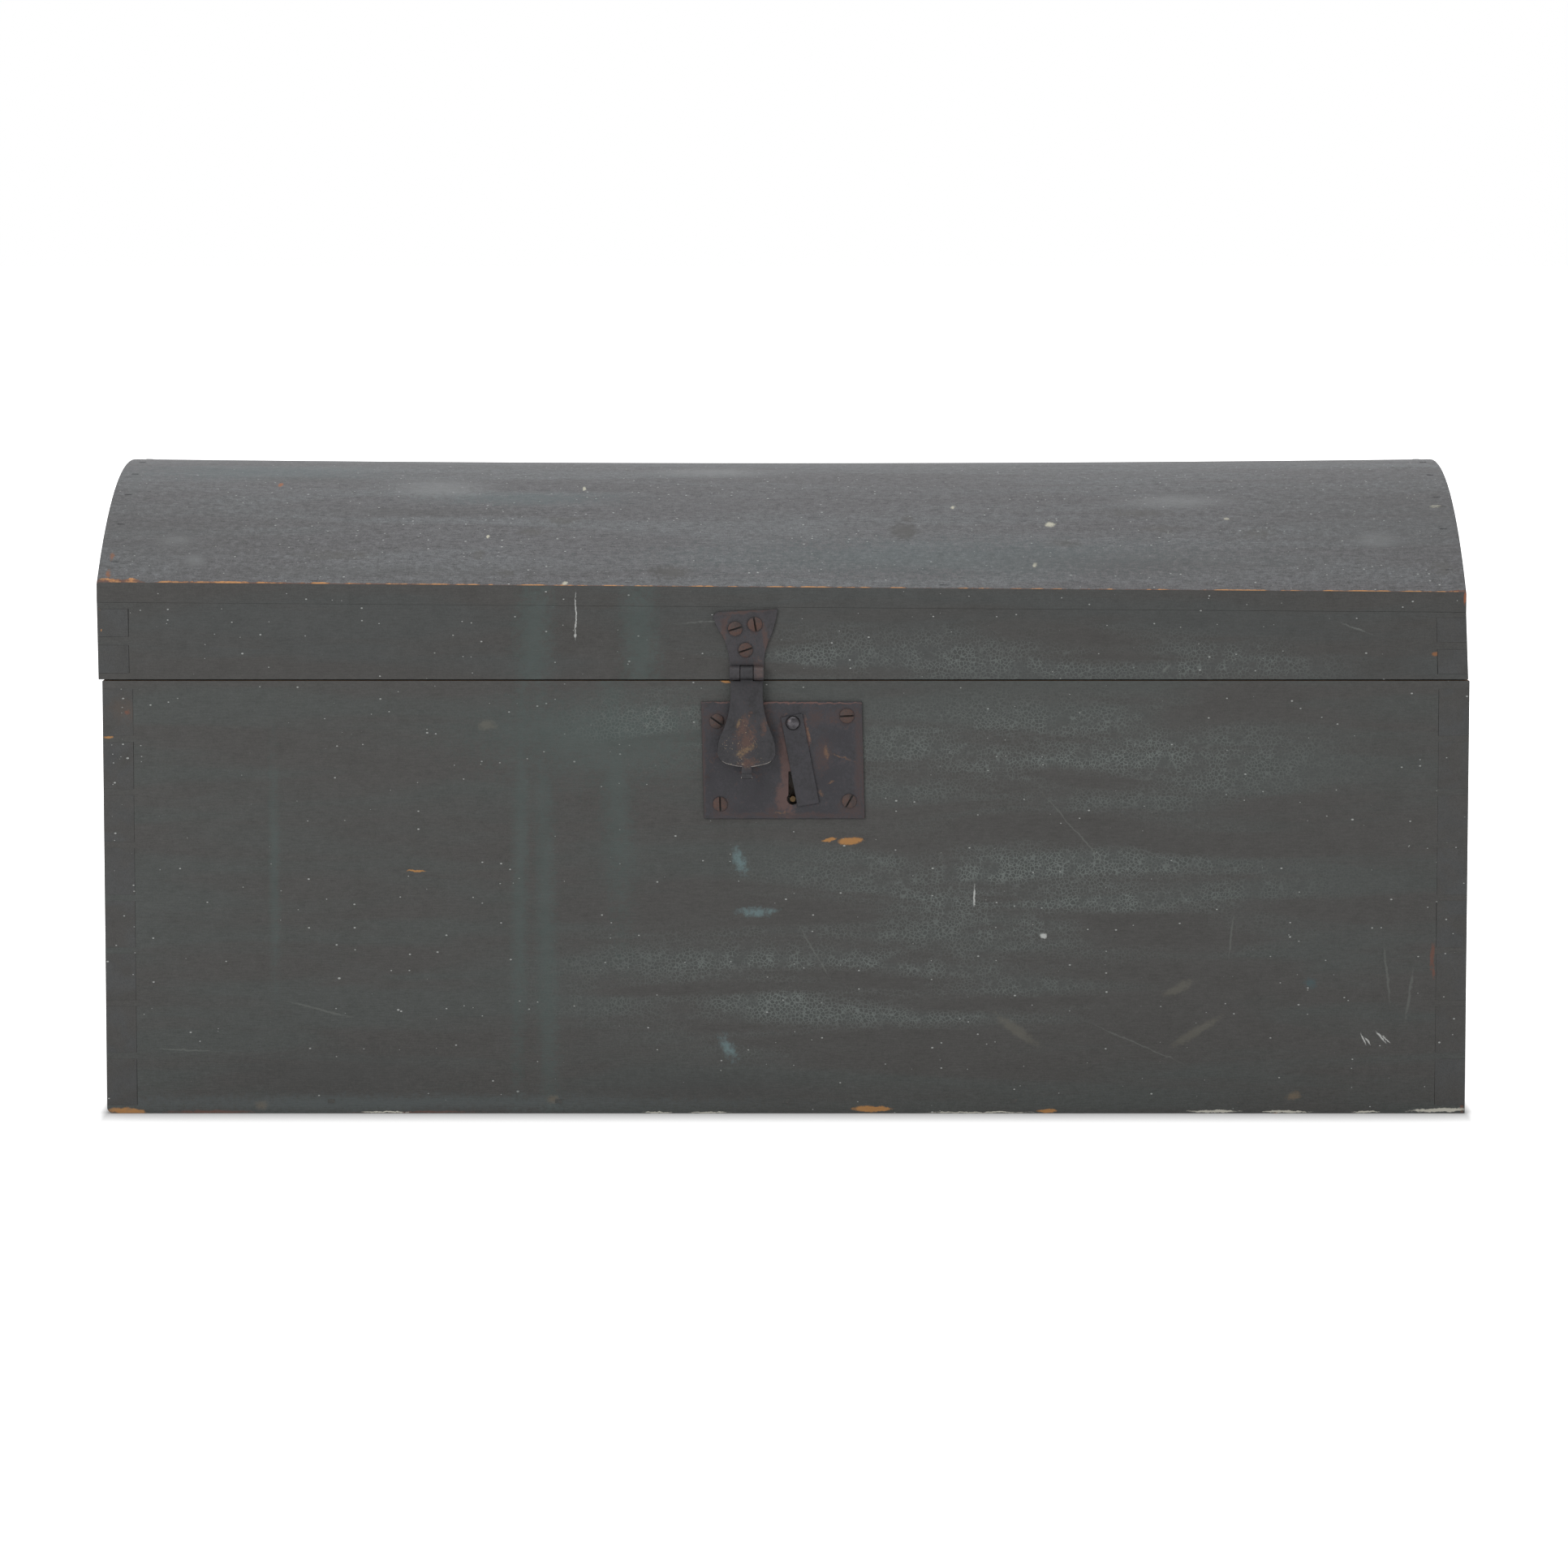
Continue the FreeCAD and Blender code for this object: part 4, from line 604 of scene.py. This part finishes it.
lock_steel = iron("Oiled sheet steel of the lock", "#5a5754", "#4b3b30", 0.16, 0.5, 0.8)
dressed(lock_steel, "lock_steel", "lock_case", "lock_spring", "lock_bolt")
brass = iron("Dull cast brass post", "#5c4729", "#33271a", 0.24, 0.5, 0.6)
dressed(brass, "brass_post", "key_post")

# ---------------------------------------------------------------------------------------------------
# Lock plate. Sheet iron, 108 by 79 mm, screwed flat by four round-headed screws. Its top edge is
# rubbed brown, and a reddish band shows where the keyhole cover has scraped as it swung.
# ---------------------------------------------------------------------------------------------------

PLATE = -217.8
KEY_X, RIVET_Z = 4.6, 264
LOCK_SCREWS = ((-46.3, 265, 35), (40.7, 268.6, -3), (-44, 209.4, 88), (42.4, 211.4, -60))
plate_marks = on_face(PLATE, [
    # painted shade: a dark ring round each screw head, just wider than the head
    ("#29282b", 0.25, 0.75, [(x, z, 5.5, 5.5, 0) for x, z, turn in LOCK_SCREWS]),
    ("#2c2b2f", 0.7, 0.7, [
        (-20, 216, 9, 9, 0), (27, 226, 10, 12, 0), (-38, 238, 8, 14, 0), (34, 254, 11, 5, 0),
        (22, 204, 12, 3, 0), (-28, 205, 10, 3, 0), (-50, 225, 4, 14, 0),
    ]),
    ("#58433f", 0.35, 0.8, [(0.7, 233, 4, 30, -4), (-1.3, 214, 5.5, 9, 0), (13.2, 257, 2, 10, -8)]),
    ("#443533", 0.8, 0.6, [
        (41.7, 269, 9, 4, 0), (-45.3, 265, 8, 5, 0), (43.7, 206, 6, 5, 0), (48.7, 238, 2, 30, 0),
        (-55.3, 235, 1, 40, 0), (51.7, 238, 0.9, 40, 0), (3.7, 202, 40, 1.2, 0), (-43.3, 206, 5, 5, 0),
        (24.7, 242, 4, 9, 8), (-9.3, 205, 3, 3, 0), (-15, 268, 5, 7, 0), (20, 268, 4, 4, 0),
    ]),
    ("#6b4f49", 0.3, 0.75, [(-1.3, 277.4, 54, 0.5, 0.3)]),
    ("#6c523f", 0.7, 0.7, [
        (14.6, 257, 0.6, 4, -8), (23.2, 217, 0.9, 1.6, -20), (37.7, 241, 5.5, 0.35, 18),
        (30.2, 224, 1.8, 0.5, -20), (-3.3, 203.5, 3, 0.5, 0), (26.7, 244, 1, 3, 0),
    ]),
])
plate_iron = iron("Sheet iron of the lock plate", "#343337", "#42332f", 0.1, 0.52, 0.4, plate_marks)
plate = merged("lock_plate")
rubbed(plate, 0.25 * MM, 1)
placed("lock_plate_worn", plate, [plate_iron], "case", "aged_iron", "lock_plate")


def lathed(outline, steps):
    """A turned form whose axis runs along Y: each point is its radius and its height towards -Y."""
    mesh = bmesh.new()
    line = [mesh.verts.new((radius, -rise, 0)) for radius, rise in outline]
    for near, far in zip(line, line[1:]):
        mesh.edges.new((near, far))
    bmesh.ops.spin(
        mesh, geom=mesh.verts[:] + mesh.edges[:], cent=(0, 0, 0), axis=(0, 1, 0),
        angle=math.tau, steps=steps, use_merge=True, use_duplicate=False,
    )
    bmesh.ops.remove_doubles(mesh, verts=mesh.verts, dist=1e-6)
    bmesh.ops.recalc_face_normals(mesh, faces=mesh.faces)
    return mesh


def domed(head, foot, crown):
    """The outline of a round head from its rim to its top."""
    steps = [step / 6 * math.pi / 2 for step in range(6)]
    curve = [(head * math.cos(angle), foot + (crown - foot) * math.sin(angle)) for angle in steps]
    return curve + [(0, crown)]


def slotted_screw(spot, head, crown, shank, length, turn):
    """A round-headed screw driven into the board, with a slot sawn right across its head and coloured
    black, for dirt and painted shade.
    """
    rim, slot_floor, half = 0.6 * MM, 0.45 * MM, 0.6 * MM
    shank_line = [(0, -length), (shank * 0.4, -length), (shank, 4 * MM - length), (shank, 0), (head, 0)]
    mesh = lathed(shank_line + domed(head, rim, crown), 28)
    for spot_on, normal in (
        ((0, 0, -half), (0, 0, 1)), ((0, 0, half), (0, 0, 1)), ((0, -slot_floor, 0), (0, 1, 0)),
    ):
        bmesh.ops.bisect_plane(
            mesh, geom=mesh.verts[:] + mesh.edges[:] + mesh.faces[:], dist=1e-7,
            plane_co=spot_on, plane_no=normal,
        )
    strip = [
        face for face in mesh.faces
        if abs(face.calc_center_median().z) < half and face.calc_center_median().y < -slot_floor - 1e-6
    ]
    cut = bmesh.ops.extrude_face_region(mesh, geom=strip)
    bmesh.ops.delete(mesh, geom=strip, context="FACES")
    for vert in (item for item in cut["geom"] if isinstance(item, bmesh.types.BMVert)):
        vert.co.y = -slot_floor
    bmesh.ops.remove_doubles(mesh, verts=mesh.verts, dist=1e-6)
    bmesh.ops.dissolve_degenerate(mesh, edges=mesh.edges, dist=1e-6)
    bmesh.ops.recalc_face_normals(mesh, faces=mesh.faces)
    # the slot's faces take the second material, black for dirt and painted shade
    for face in mesh.faces:
        middle = face.calc_center_median()
        face.material_index = int(abs(middle.z) < half + 1e-6 and middle.y < -slot_floor + 1e-6)
    turned = Matrix.Translation(Vector(spot) * MM) @ Matrix.Rotation(math.radians(turn), 4, "Y")
    bmesh.ops.transform(mesh, matrix=turned, verts=mesh.verts)
    return mesh


def joined(meshes):
    """Several meshes as one."""
    whole = bmesh.new()
    for mesh in meshes:
        data = bpy.data.meshes.new("part")
        mesh.to_mesh(data)
        mesh.free()
        whole.from_mesh(data)
        bpy.data.meshes.remove(data)
    return whole


screws = joined(
    slotted_screw((x, PLATE, z), 4.9 * MM, 1.7 * MM, 2 * MM, 15 * MM, turn)
    for x, z, turn in LOCK_SCREWS
)
slot_dirt_and_painted_shade = iron("Black dirt and painted shade in the screws' slots", "#1b1817", "#2a201b", 0.2, 0.8, 0)
placed(
    "lock_plate_screws_worn", screws, [screw_rust, slot_dirt_and_painted_shade], "case", "rusted_screws",
    "lock_plate_screws",
)

# ---------------------------------------------------------------------------------------------------
# Keyhole cover. A narrow iron tongue that hangs from one rivet and swings aside for the key. The
# rivet is hammered over into a bright dome.
# ---------------------------------------------------------------------------------------------------

cover_iron = iron("Thin iron of the keyhole cover", "#343337", "#40322f", 0.06, 0.52, 0.4)
cover = merged("keyhole_cover")
rubbed(cover, 0.22 * MM, 1)
placed("keyhole_cover_worn", cover, [cover_iron], "keyhole_cover", "aged_iron", "keyhole_cover")
rivet_iron = iron("Hammered iron rivet, handled bright", "#454346", "#4a3b36", 0.06, 0.2, 0.75)
rivet = lathed(
    [(0, -1.8 * MM), (2 * MM, -1.8 * MM), (2 * MM, 2.1 * MM)] + domed(4.9 * MM, 2.1 * MM, 5.1 * MM), 32
)
bmesh.ops.translate(rivet, verts=rivet.verts, vec=(KEY_X * MM, PLATE * MM, RIVET_Z * MM))
placed("keyhole_cover_rivet_worn", rivet, [rivet_iron], "case", "aged_iron", "keyhole_cover_rivet")

# ---------------------------------------------------------------------------------------------------
# Lid frame. Front and back boards only 48 mm high, dovetailed to end boards that rise to an arch. It
# has crept to the left of the case, and its front arris falls a little from left to right.
# ---------------------------------------------------------------------------------------------------

LID_BASE, WALL_TOP, ARRIS, CREST = 292.8 * MM, 341.2 * MM, 354.3 * MM, 430.7 * MM
FALL, SAG = 3.3 * MM, 2.8 * MM


def ramp(value, low, high):
    """0 below low, 1 above high, and even between them."""
    return min(1, max(0, (value - low) / (high - low)))


def warped(mesh):
    """Bends a piece of the lid as age has: the arris falls to the right, the crest sags in its
    middle, and the ends lean to the left."""
    for vert in mesh.verts:
        x, z = vert.co.x, vert.co.z
        along = x / HALF_LENGTH
        up = ramp(z, LID_BASE, WALL_TOP)
        over = ramp(z, ARRIS, CREST)
        vert.co.z += -FALL * along * up * (1 - over) - SAG * (1 - along * along) * over
        if x < 0:
            lean = 2.5 * MM + 0.6 * MM * up
        else:
            lean = 0.9 * MM + 1.9 * MM * up * (1 - 0.6 * over)
        vert.co.x -= lean * ramp(abs(x), 0.32, HALF_LENGTH)


def cut_along(mesh, cuts=16):
    """Cuts a long piece across, so that it can bend."""
    for step in range(1, cuts):
        bmesh.ops.bisect_plane(
            mesh, geom=mesh.verts[:] + mesh.edges[:] + mesh.faces[:], dist=1e-6,
            plane_co=(HALF_LENGTH * (2 * step / cuts - 1), 0, 0), plane_no=(1, 0, 0),
        )


lid_end_paint = old_paint(
    "Old grey-green milk paint, lid ends", "Y", ("#40403f", "#424343"), 0, 0.4, []
)
lid_marks = on_face(FRONT, [
    ("#4b5855", 0.9, 0.55, [(-168.3, 318, 9, 40, 2), (-97.3, 318, 9, 40, -2)]),
    ("#d4d6d3", 0.35, 0.8, [(-140.3, 335, 0.45, 13, 0), (-140.3, 322, 0.9, 1, 0)]),
    ("#9a6842", 0.4, 0.8, [(434.1, 310, 2.4, 1.3, 0)]),
    ("#9c5f40", 0.3, 0.9, [(453.4, 348, 1, 4.5, 0)]),
    ("#767a76", 0.8, 0.6, [
        (380.7, 327, 7, 0.5, 20), (253.7, 300, 3, 0.8, -45), (-41.3, 332, 20, 0.5, -3),
    ]),
])
lid_front_paint = old_paint(
    "Old grey-green milk paint, lid front", "X", ("#403f3d", "#404241"), 0.8, 0.4, lid_marks,
    zones=[(150, FRONT, 308, 190, 22), (290, FRONT, 304, 90, 18), (30, FRONT, 310, 60, 22)],
    depth=1.15,
)
lid_back_paint = old_paint(
    "Old grey-green milk paint, lid back", "X", ("#474645", "#474b49"), 0.8, 0.3, [],
    zones=[(-120, 216, 312, 160, 20)],
)
lid_joint = sooty_joint_with_painted_shade("Dirt in the upright lines of the lid's dovetails", "#2c2c2b", 1)
lid_filled = sooty_joint_with_painted_shade("Paint over the level lines of the lid's joints", "#484947", 0.75, 0.41)
for name, paint, pine in (
    ("lid_left_end", lid_end_paint, end_pine),
    ("lid_right_end", lid_end_paint, end_pine),
    ("lid_front_board", lid_front_paint, long_pine),
    ("lid_back_board", lid_back_paint, long_pine),
):
    board = merged(name)
    worn_board(board, LID_BASE, CREST, 0.6 * MM)
    if name.endswith("_board"):
        cut_along(board)
    warped(board)
    placed(
        f"{name}_worn", board, [paint, pine, lid_joint, lid_filled], "lid", "painted_pine", name
    )

# ---------------------------------------------------------------------------------------------------
# Dome. Five pine staves, coopered edge to edge over the arched ends and nailed down with brads. Its
# paint is lighter than the rest, partly bleached and partly painted light from above, and its arris is
# rubbed to an orange line of bare wood.
# ---------------------------------------------------------------------------------------------------

DOME_RADIUS, DOME_CENTRE = 344.947 * MM, 85.728 * MM
dome_marks = [
    ("#5a6a6c", 0.9, 0.4, [
        (-181.3, -117, 410, 45, 8, 0), (108.7, -190, 374, 120, 14, 0), (-361.3, -60, 424, 60, 16, 0),
    ]),
    ("#8b8e8f", 0.8, 0.5, [
        (398.7, -171, 385, 10, 7, 0), (266.7, -121, 409, 26, 8, 0), (-236.3, -98, 416, 24, 14, 0),
        (-51.3, -52, 427, 30, 12, 0), (-411.3, -175, 383, 10, 3, 0), (-396.3, -195, 371, 5, 4, 0),
    ]),
    ("#454442", 0.5, 0.75, [
        (79.7, -162, 390.4, 8.5, 9, 0), (82.7, -148, 397.5, 4, 3, 0), (-78.3, -204, 364, 12, 6, 0),
    ]),
    ("#4d4c49", 0.7, 0.6, [
        (441, -198, 368, 7, 5, 0), (-206.3, -188, 375, 3, 3, 0), (-186.3, -205, 363, 4, 3, 0),
        (318.7, -165, 388, 9, 4, 0), (-151.3, -150, 396, 10, 2.5, 0), (-171.3, -165, 389, 8, 2, 0),
        (188.7, -176, 382, 9, 2, 0), (253.7, -160, 391, 12, 2, 0), (-301.3, -190, 374, 20, 3, 0),
        (238.7, -140, 401, 20, 2.5, 0),
    ]),
    ("#8e5a3a", 0.35, 0.95, [
        (-347.3, -94.5, 417.5, 1.6, 1.2, 0), (-453, -205, 362, 2, 3, 0), (-452, -190, 373, 1.6, 3, 0),
    ]),
    ("#c9c6b4", 0.3, 0.9, [
        (442, -131, 404.4, 3.4, 0.9, 0), (-138.3, -100, 415, 1.2, 1.5, 0),
        (-147.3, -212, 357, 2, 1.2, 0), (178.7, -155, 394, 3, 2, 0), (113.7, -133, 404, 2, 1.2, 0),
        (-201.3, -170, 386, 1, 1, 0), (166.7, -198, 368, 1.4, 1.4, 0), (298.7, -150, 397, 2.5, 1, 0),
    ]),
    ("#5c5f60", 0.8, 0.7, [(-447, -90, 419, 2.4, 30, 0)]),
    ("#454544", 0.9, 0.4, [
        (-430, -170, 385, 90, 45, 0), (440, -150, 395, 100, 60, 0), (250, -195, 372, 200, 12, 0),
        (-300, -205, 364, 140, 5, 0), (-330, -80, 420, 30, 6, 0), (-250, -140, 401, 60, 3, 0),
    ]),
    ("#2f2e2d", 0.4, 0.8, [(446, -133, 404.1, 9, 0.35, 0), (432, -50, 427, 16, 0.25, 0)]),
]
# the dome's tones are lighter than the rest: partly bleached paint, partly painted light from the lamp
# above
dome_paint_with_painted_top_light = old_paint(
    "Old grey milk paint, bleached dome with painted top light", "X", ("#5c5c5e", "#606264"), 0, 1, dome_marks,
    arris=(ARRIS, FALL), depth=2.7,
)


def from_axis(point):
    """How far a point is from the axis of the dome's arch."""
    return math.hypot(point.y, point.z - DOME_CENTRE)


def stave_faces(mesh):
    """The lighter paint on top, partly bleached and partly painted top light, the lid's own on the
    upright edge below the arris, bare wood inside.
    """
    for face in mesh.faces:
        spot = face.calc_center_median()
        on_top = from_axis(spot) > DOME_RADIUS - 1.3 * MM
        on_end = abs(spot.x) > HALF_LENGTH - 1.2 * MM
        on_face = abs(spot.y) > HALF_DEPTH - 1.2 * MM and spot.z < ARRIS - 0.9 * MM
        face.material_index = 1
        if on_face:
            face.material_index = 3 if spot.z < WALL_TOP + 0.5 * MM else 2
        elif on_top or on_end:
            face.material_index = 0


def rounded_normals(piece):
    """Shades the staves' tops as one smooth arch, as they were planed after they were nailed down."""
    data = piece.data
    normals = [tuple(corner.vector) for corner in data.corner_normals]
    for face in data.polygons:
        centre = face.center
        steep = abs(face.normal.x) > 0.1 or abs(face.normal.y) > 0.75 or face.normal.z < 0.3
        if steep or from_axis(centre) < DOME_RADIUS - 4 * MM:
            continue
        for loop in face.loop_indices:
            point = data.vertices[data.loops[loop].vertex_index].co
            normals[loop] = tuple(Vector((0, point.y, point.z - DOME_CENTRE)).normalized())
    data.normals_split_custom_set(normals)


def dome_rim(edge):
    """The edges that hands and cloths have rubbed: the arrises, and those round the two ends."""
    ends = [vert.co for vert in edge.verts]
    on_arris = all(
        abs(abs(point.y) - HALF_DEPTH) < 0.2 * MM and abs(point.z - ARRIS) < 0.2 * MM for point in ends
    )
    on_end = ends[0].x * ends[1].x > 0 and all(
        abs(abs(point.x) - HALF_LENGTH) < 0.2 * MM
        and from_axis(point) > DOME_RADIUS - 0.3 * MM
        for point in ends
    )
    return on_arris or on_end


def dome_joint(edge):
    """The two lines where the outer staves sit on the front and back boards."""
    return all(
        abs(abs(vert.co.y) - HALF_DEPTH) < 0.2 * MM and abs(vert.co.z - WALL_TOP) < 0.2 * MM
        for vert in edge.verts
    )


for index in range(1, 6):
    stave = merged(f"dome_stave_{index}")
    rubbed(stave, 0.14 * MM, 2, dome_joint)
    rubbed(stave, 1.1 * MM, 3, dome_rim)
    stave_faces(stave)
    cut_along(stave)
    warped(stave)
    made = placed(
        f"dome_stave_{index}_worn", stave, [dome_paint_with_painted_top_light, long_pine, lid_front_paint, lid_filled],
        "lid", "painted_pine", f"dome_stave_{index}",
    )
    rounded_normals(made)
nails = merged("stave_nails")
warped(nails)
placed("stave_nails_worn", nails, [dome_paint_with_painted_top_light], "lid", "painted_nails", "stave_nails")

# ---------------------------------------------------------------------------------------------------
# Hasp leaf. Forged iron cut with shears, flared at its top and a little askew, with two knuckles
# rolled round the pin. Three brown round-headed screws hold it to the lid's front.
# ---------------------------------------------------------------------------------------------------

LEAF = -218
LEAF_SCREWS = ((-33.8, 327, -18), (-20.7, 330, 80), (-27, 312.7, -19))
leaf_marks = [
    # painted shade: a dark ring round each screw head, just wider than the head
    ("#29282b", 0.25, 0.7, [(x, LEAF, z, 5.4, 5.4, 0) for x, z, turn in LEAF_SCREWS]),
    ("#5b4b47", 0.5, 0.6, [(-18.2, -221, 299, 3.2, 7, 0)]),
    ("#513c36", 0.6, 0.6, [
        (-42, LEAF, 322, 1.6, 12, 12), (-13.5, LEAF, 318, 1.2, 12, -10), (-27, LEAF, 338, 16, 0.8, -5),
    ]),
]
leaf_iron = iron(
    "Sheared wrought iron of the leaf", "#39373a", "#433532", 0.08, 0.54, 0.35, leaf_marks
)
leaf = merged("hasp_leaf")
rubbed(leaf, 0.3 * MM, 2)
placed("hasp_leaf_worn", leaf, [leaf_iron], "lid", "aged_iron", "hasp_leaf")
screws = joined(
    slotted_screw((x, LEAF, z), 4.9 * MM, 1.5 * MM, 2 * MM, 15 * MM, turn)
    for x, z, turn in LEAF_SCREWS
)
placed(
    "hasp_leaf_screws_worn", screws, [screw_rust, slot_dirt_and_painted_shade], "lid", "rusted_screws",
    "hasp_leaf_screws",
)
dressed(hinge_iron, "aged_iron", "hasp_pin")

# ---------------------------------------------------------------------------------------------------
# Hasp strap. One forged piece: middle knuckle, tapering neck, a pear-shaped pad rubbed bright at its
# lower rim, which is lightened further as a painted glint, and rusted in its middle, and a rolled lift
# tab. The staple is riveted to its back.
# ---------------------------------------------------------------------------------------------------

strap_marks = [
    ("#553f37", 0.8, 0.8, [
        (-29, -230, 262, 3, 7, 22), (-26, -231, 253, 4, 8, 16), (-25.3, -232, 238, 4.5, 2.6, 0),
        (-14.8, -230, 262, 1.4, 4, 0),
    ]),
    ("#7f6a4e", 1, 0.5, [
        (-26, -232, 247.5, 4, 1.2, -25), (-30.5, -232, 244.5, 2.4, 1.2, 0),
        (-31.5, -230, 265, 0.8, 2.4, 20),
    ]),
]
strap_crumbs = [
    (-28, -231, 249, 8, 5, -35), (-26, -231, 239, 9, 3, 0), (-31, -231, 258, 3, 8, 20),
    (-38, -231, 250, 4, 5, 0),
]
strap_iron = iron(
    "Forged iron of the hasp", "#313033", "#3d302d", 0.08, 0.54, 0.35, strap_marks, strap_crumbs
)
rubbed_rim_with_painted_glint = iron("Hasp iron rubbed bright at its rim, with a painted glint", "#77726f", "#4c3d3a", 0.04, 0.3, 0.75)
strap = merged("hasp_strap")
# the pad's lower front rim takes the bright iron: rubbed wear and a painted glint
for face in rubbed(strap, 0.45 * MM, 2, lambda edge: edge.is_convex):
    spot = face.calc_center_median()
    low = spot.z < 246 * MM and spot.y < -230 * MM and face.normal.z < -0.1
    face.material_index = int(low and face.normal.y < -0.2)
for vert in strap.verts:
    # the back of the knuckle has worn clear of the board that it turns against
    if vert.co.y > FRONT * MM - 0.2 * MM:
        vert.co.y -= 0.06 * MM
placed("hasp_strap_worn", strap, [strap_iron, rubbed_rim_with_painted_glint], "hasp", "aged_iron", "hasp_strap")
staple = merged("hasp_staple")
rubbed(staple, 0.3 * MM, 2)
placed("hasp_staple_worn", staple, [strap_iron], "hasp", "aged_iron", "hasp_staple")

# ---------------------------------------------------------------------------------------------------
# Studio. A white floor and a white surround that the camera and reflections see as white, save for a
# painted contact shadow round the trunk's foot, one broad soft lamp overhead, and a smaller one in
# front, high on the left.
# ---------------------------------------------------------------------------------------------------


def plain_sight(material):
    """1 for the rays that look straight at the surround, mirror it or pass through clear glass."""
    path = add(material, "LightPath")
    seen = None
    for ray in ("Camera", "Glossy", "Transmission"):
        seen = either(material, seen, path.outputs[f"Is {ray} Ray"])
    return seen


floor_material = emptied(bpy.data.materials.new("White studio floor"))
paper = add(floor_material, "BsdfDiffuse", Color=(0.8, 0.8, 0.8, 1))
floor_seen = plain_sight(floor_material)
# the floor's own light grows from the foot of the trunk, slowly in front and fast at its sides, so
# it is dimmest at the foot: a thin contact shadow painted into the floor's glow
floor_coords = add(floor_material, "TexCoord").outputs["Object"]
floor_split = add(floor_material, "SeparateXYZ", floor_coords)
beyond = []
for axis, half, pace in (("X", HALF_LENGTH, 8), ("Y", HALF_DEPTH, 1)):
    away = add(floor_material, "Math", floor_split.outputs[axis], operation="ABSOLUTE")
    away = add(floor_material, "Math", away, half, operation="SUBTRACT", use_clamp=True)
    beyond.append(add(floor_material, "Math", away, pace, operation="MULTIPLY"))
apart = add(floor_material, "Math", *beyond, operation="ADD")
# painted contact shadow: the glow is lowest right at the trunk's foot
glow_with_painted_foot_shadow = add(floor_material, "MapRange", apart, 0, 0.06, 0.05, 0.85)
far_glow = add(floor_material, "MapRange", apart, 0.2, 1, 0, 0.5)
whole_glow = add(floor_material, "Math", glow_with_painted_foot_shadow, far_glow, operation="ADD")
strength = add(floor_material, "Math", floor_seen, whole_glow, operation="MULTIPLY")
glow = add(floor_material, "Emission", Strength=strength)
add(floor_material, "OutputMaterial", add(floor_material, "AddShader", paper, glow))
ground = bmesh.new()
bmesh.ops.create_grid(ground, x_segments=1, y_segments=1, size=60)
bmesh.ops.translate(ground, verts=ground.verts, vec=(0, 0, -0.0002))
floor_data = bpy.data.meshes.new("floor")
ground.to_mesh(floor_data)
ground.free()
floor_data.materials.append(floor_material)
floor = bpy.data.objects.new("floor", floor_data)
bpy.context.scene.collection.objects.link(floor)

world = emptied(bpy.data.worlds.new("White surround"))
bpy.context.scene.world = world
sky = add(world, "MapRange", plain_sight(world), 0, 1, 0.34, 1)
backdrop = add(world, "Background", Color=(1, 1, 1, 1), Strength=sky)
add(world, "OutputWorld", backdrop)


def soft_lamp(name, spot, aim, size, power):
    """A square studio lamp at a spot, aimed at a point."""
    lamp = bpy.data.lights.new(name, "AREA")
    lamp.size = size
    lamp.energy = power
    made = bpy.data.objects.new(name, lamp)
    made.location = spot
    made.rotation_euler = (Vector(aim) - Vector(spot)).to_track_quat("-Z", "Y").to_euler()
    bpy.context.scene.collection.objects.link(made)


soft_lamp("overhead softbox", (0, -0.2, 2.6), (0, 0, 0.2), 2.4, 27)
soft_lamp("key softbox", (-1.8, -2.8, 1.5), (0, -0.1, 0.22), 0.8, 23)

lens = bpy.data.cameras.new("camera")
lens.sensor_width = 36
lens.lens = 133.77
camera = bpy.data.objects.new("camera", lens)
camera.location = (-0.0013, -4.098, 0.604)
camera.rotation_euler = (math.radians(84.39), 0, 0)
bpy.context.scene.collection.objects.link(camera)
bpy.context.scene.camera = camera
bpy.context.scene.view_settings.view_transform = "Standard"
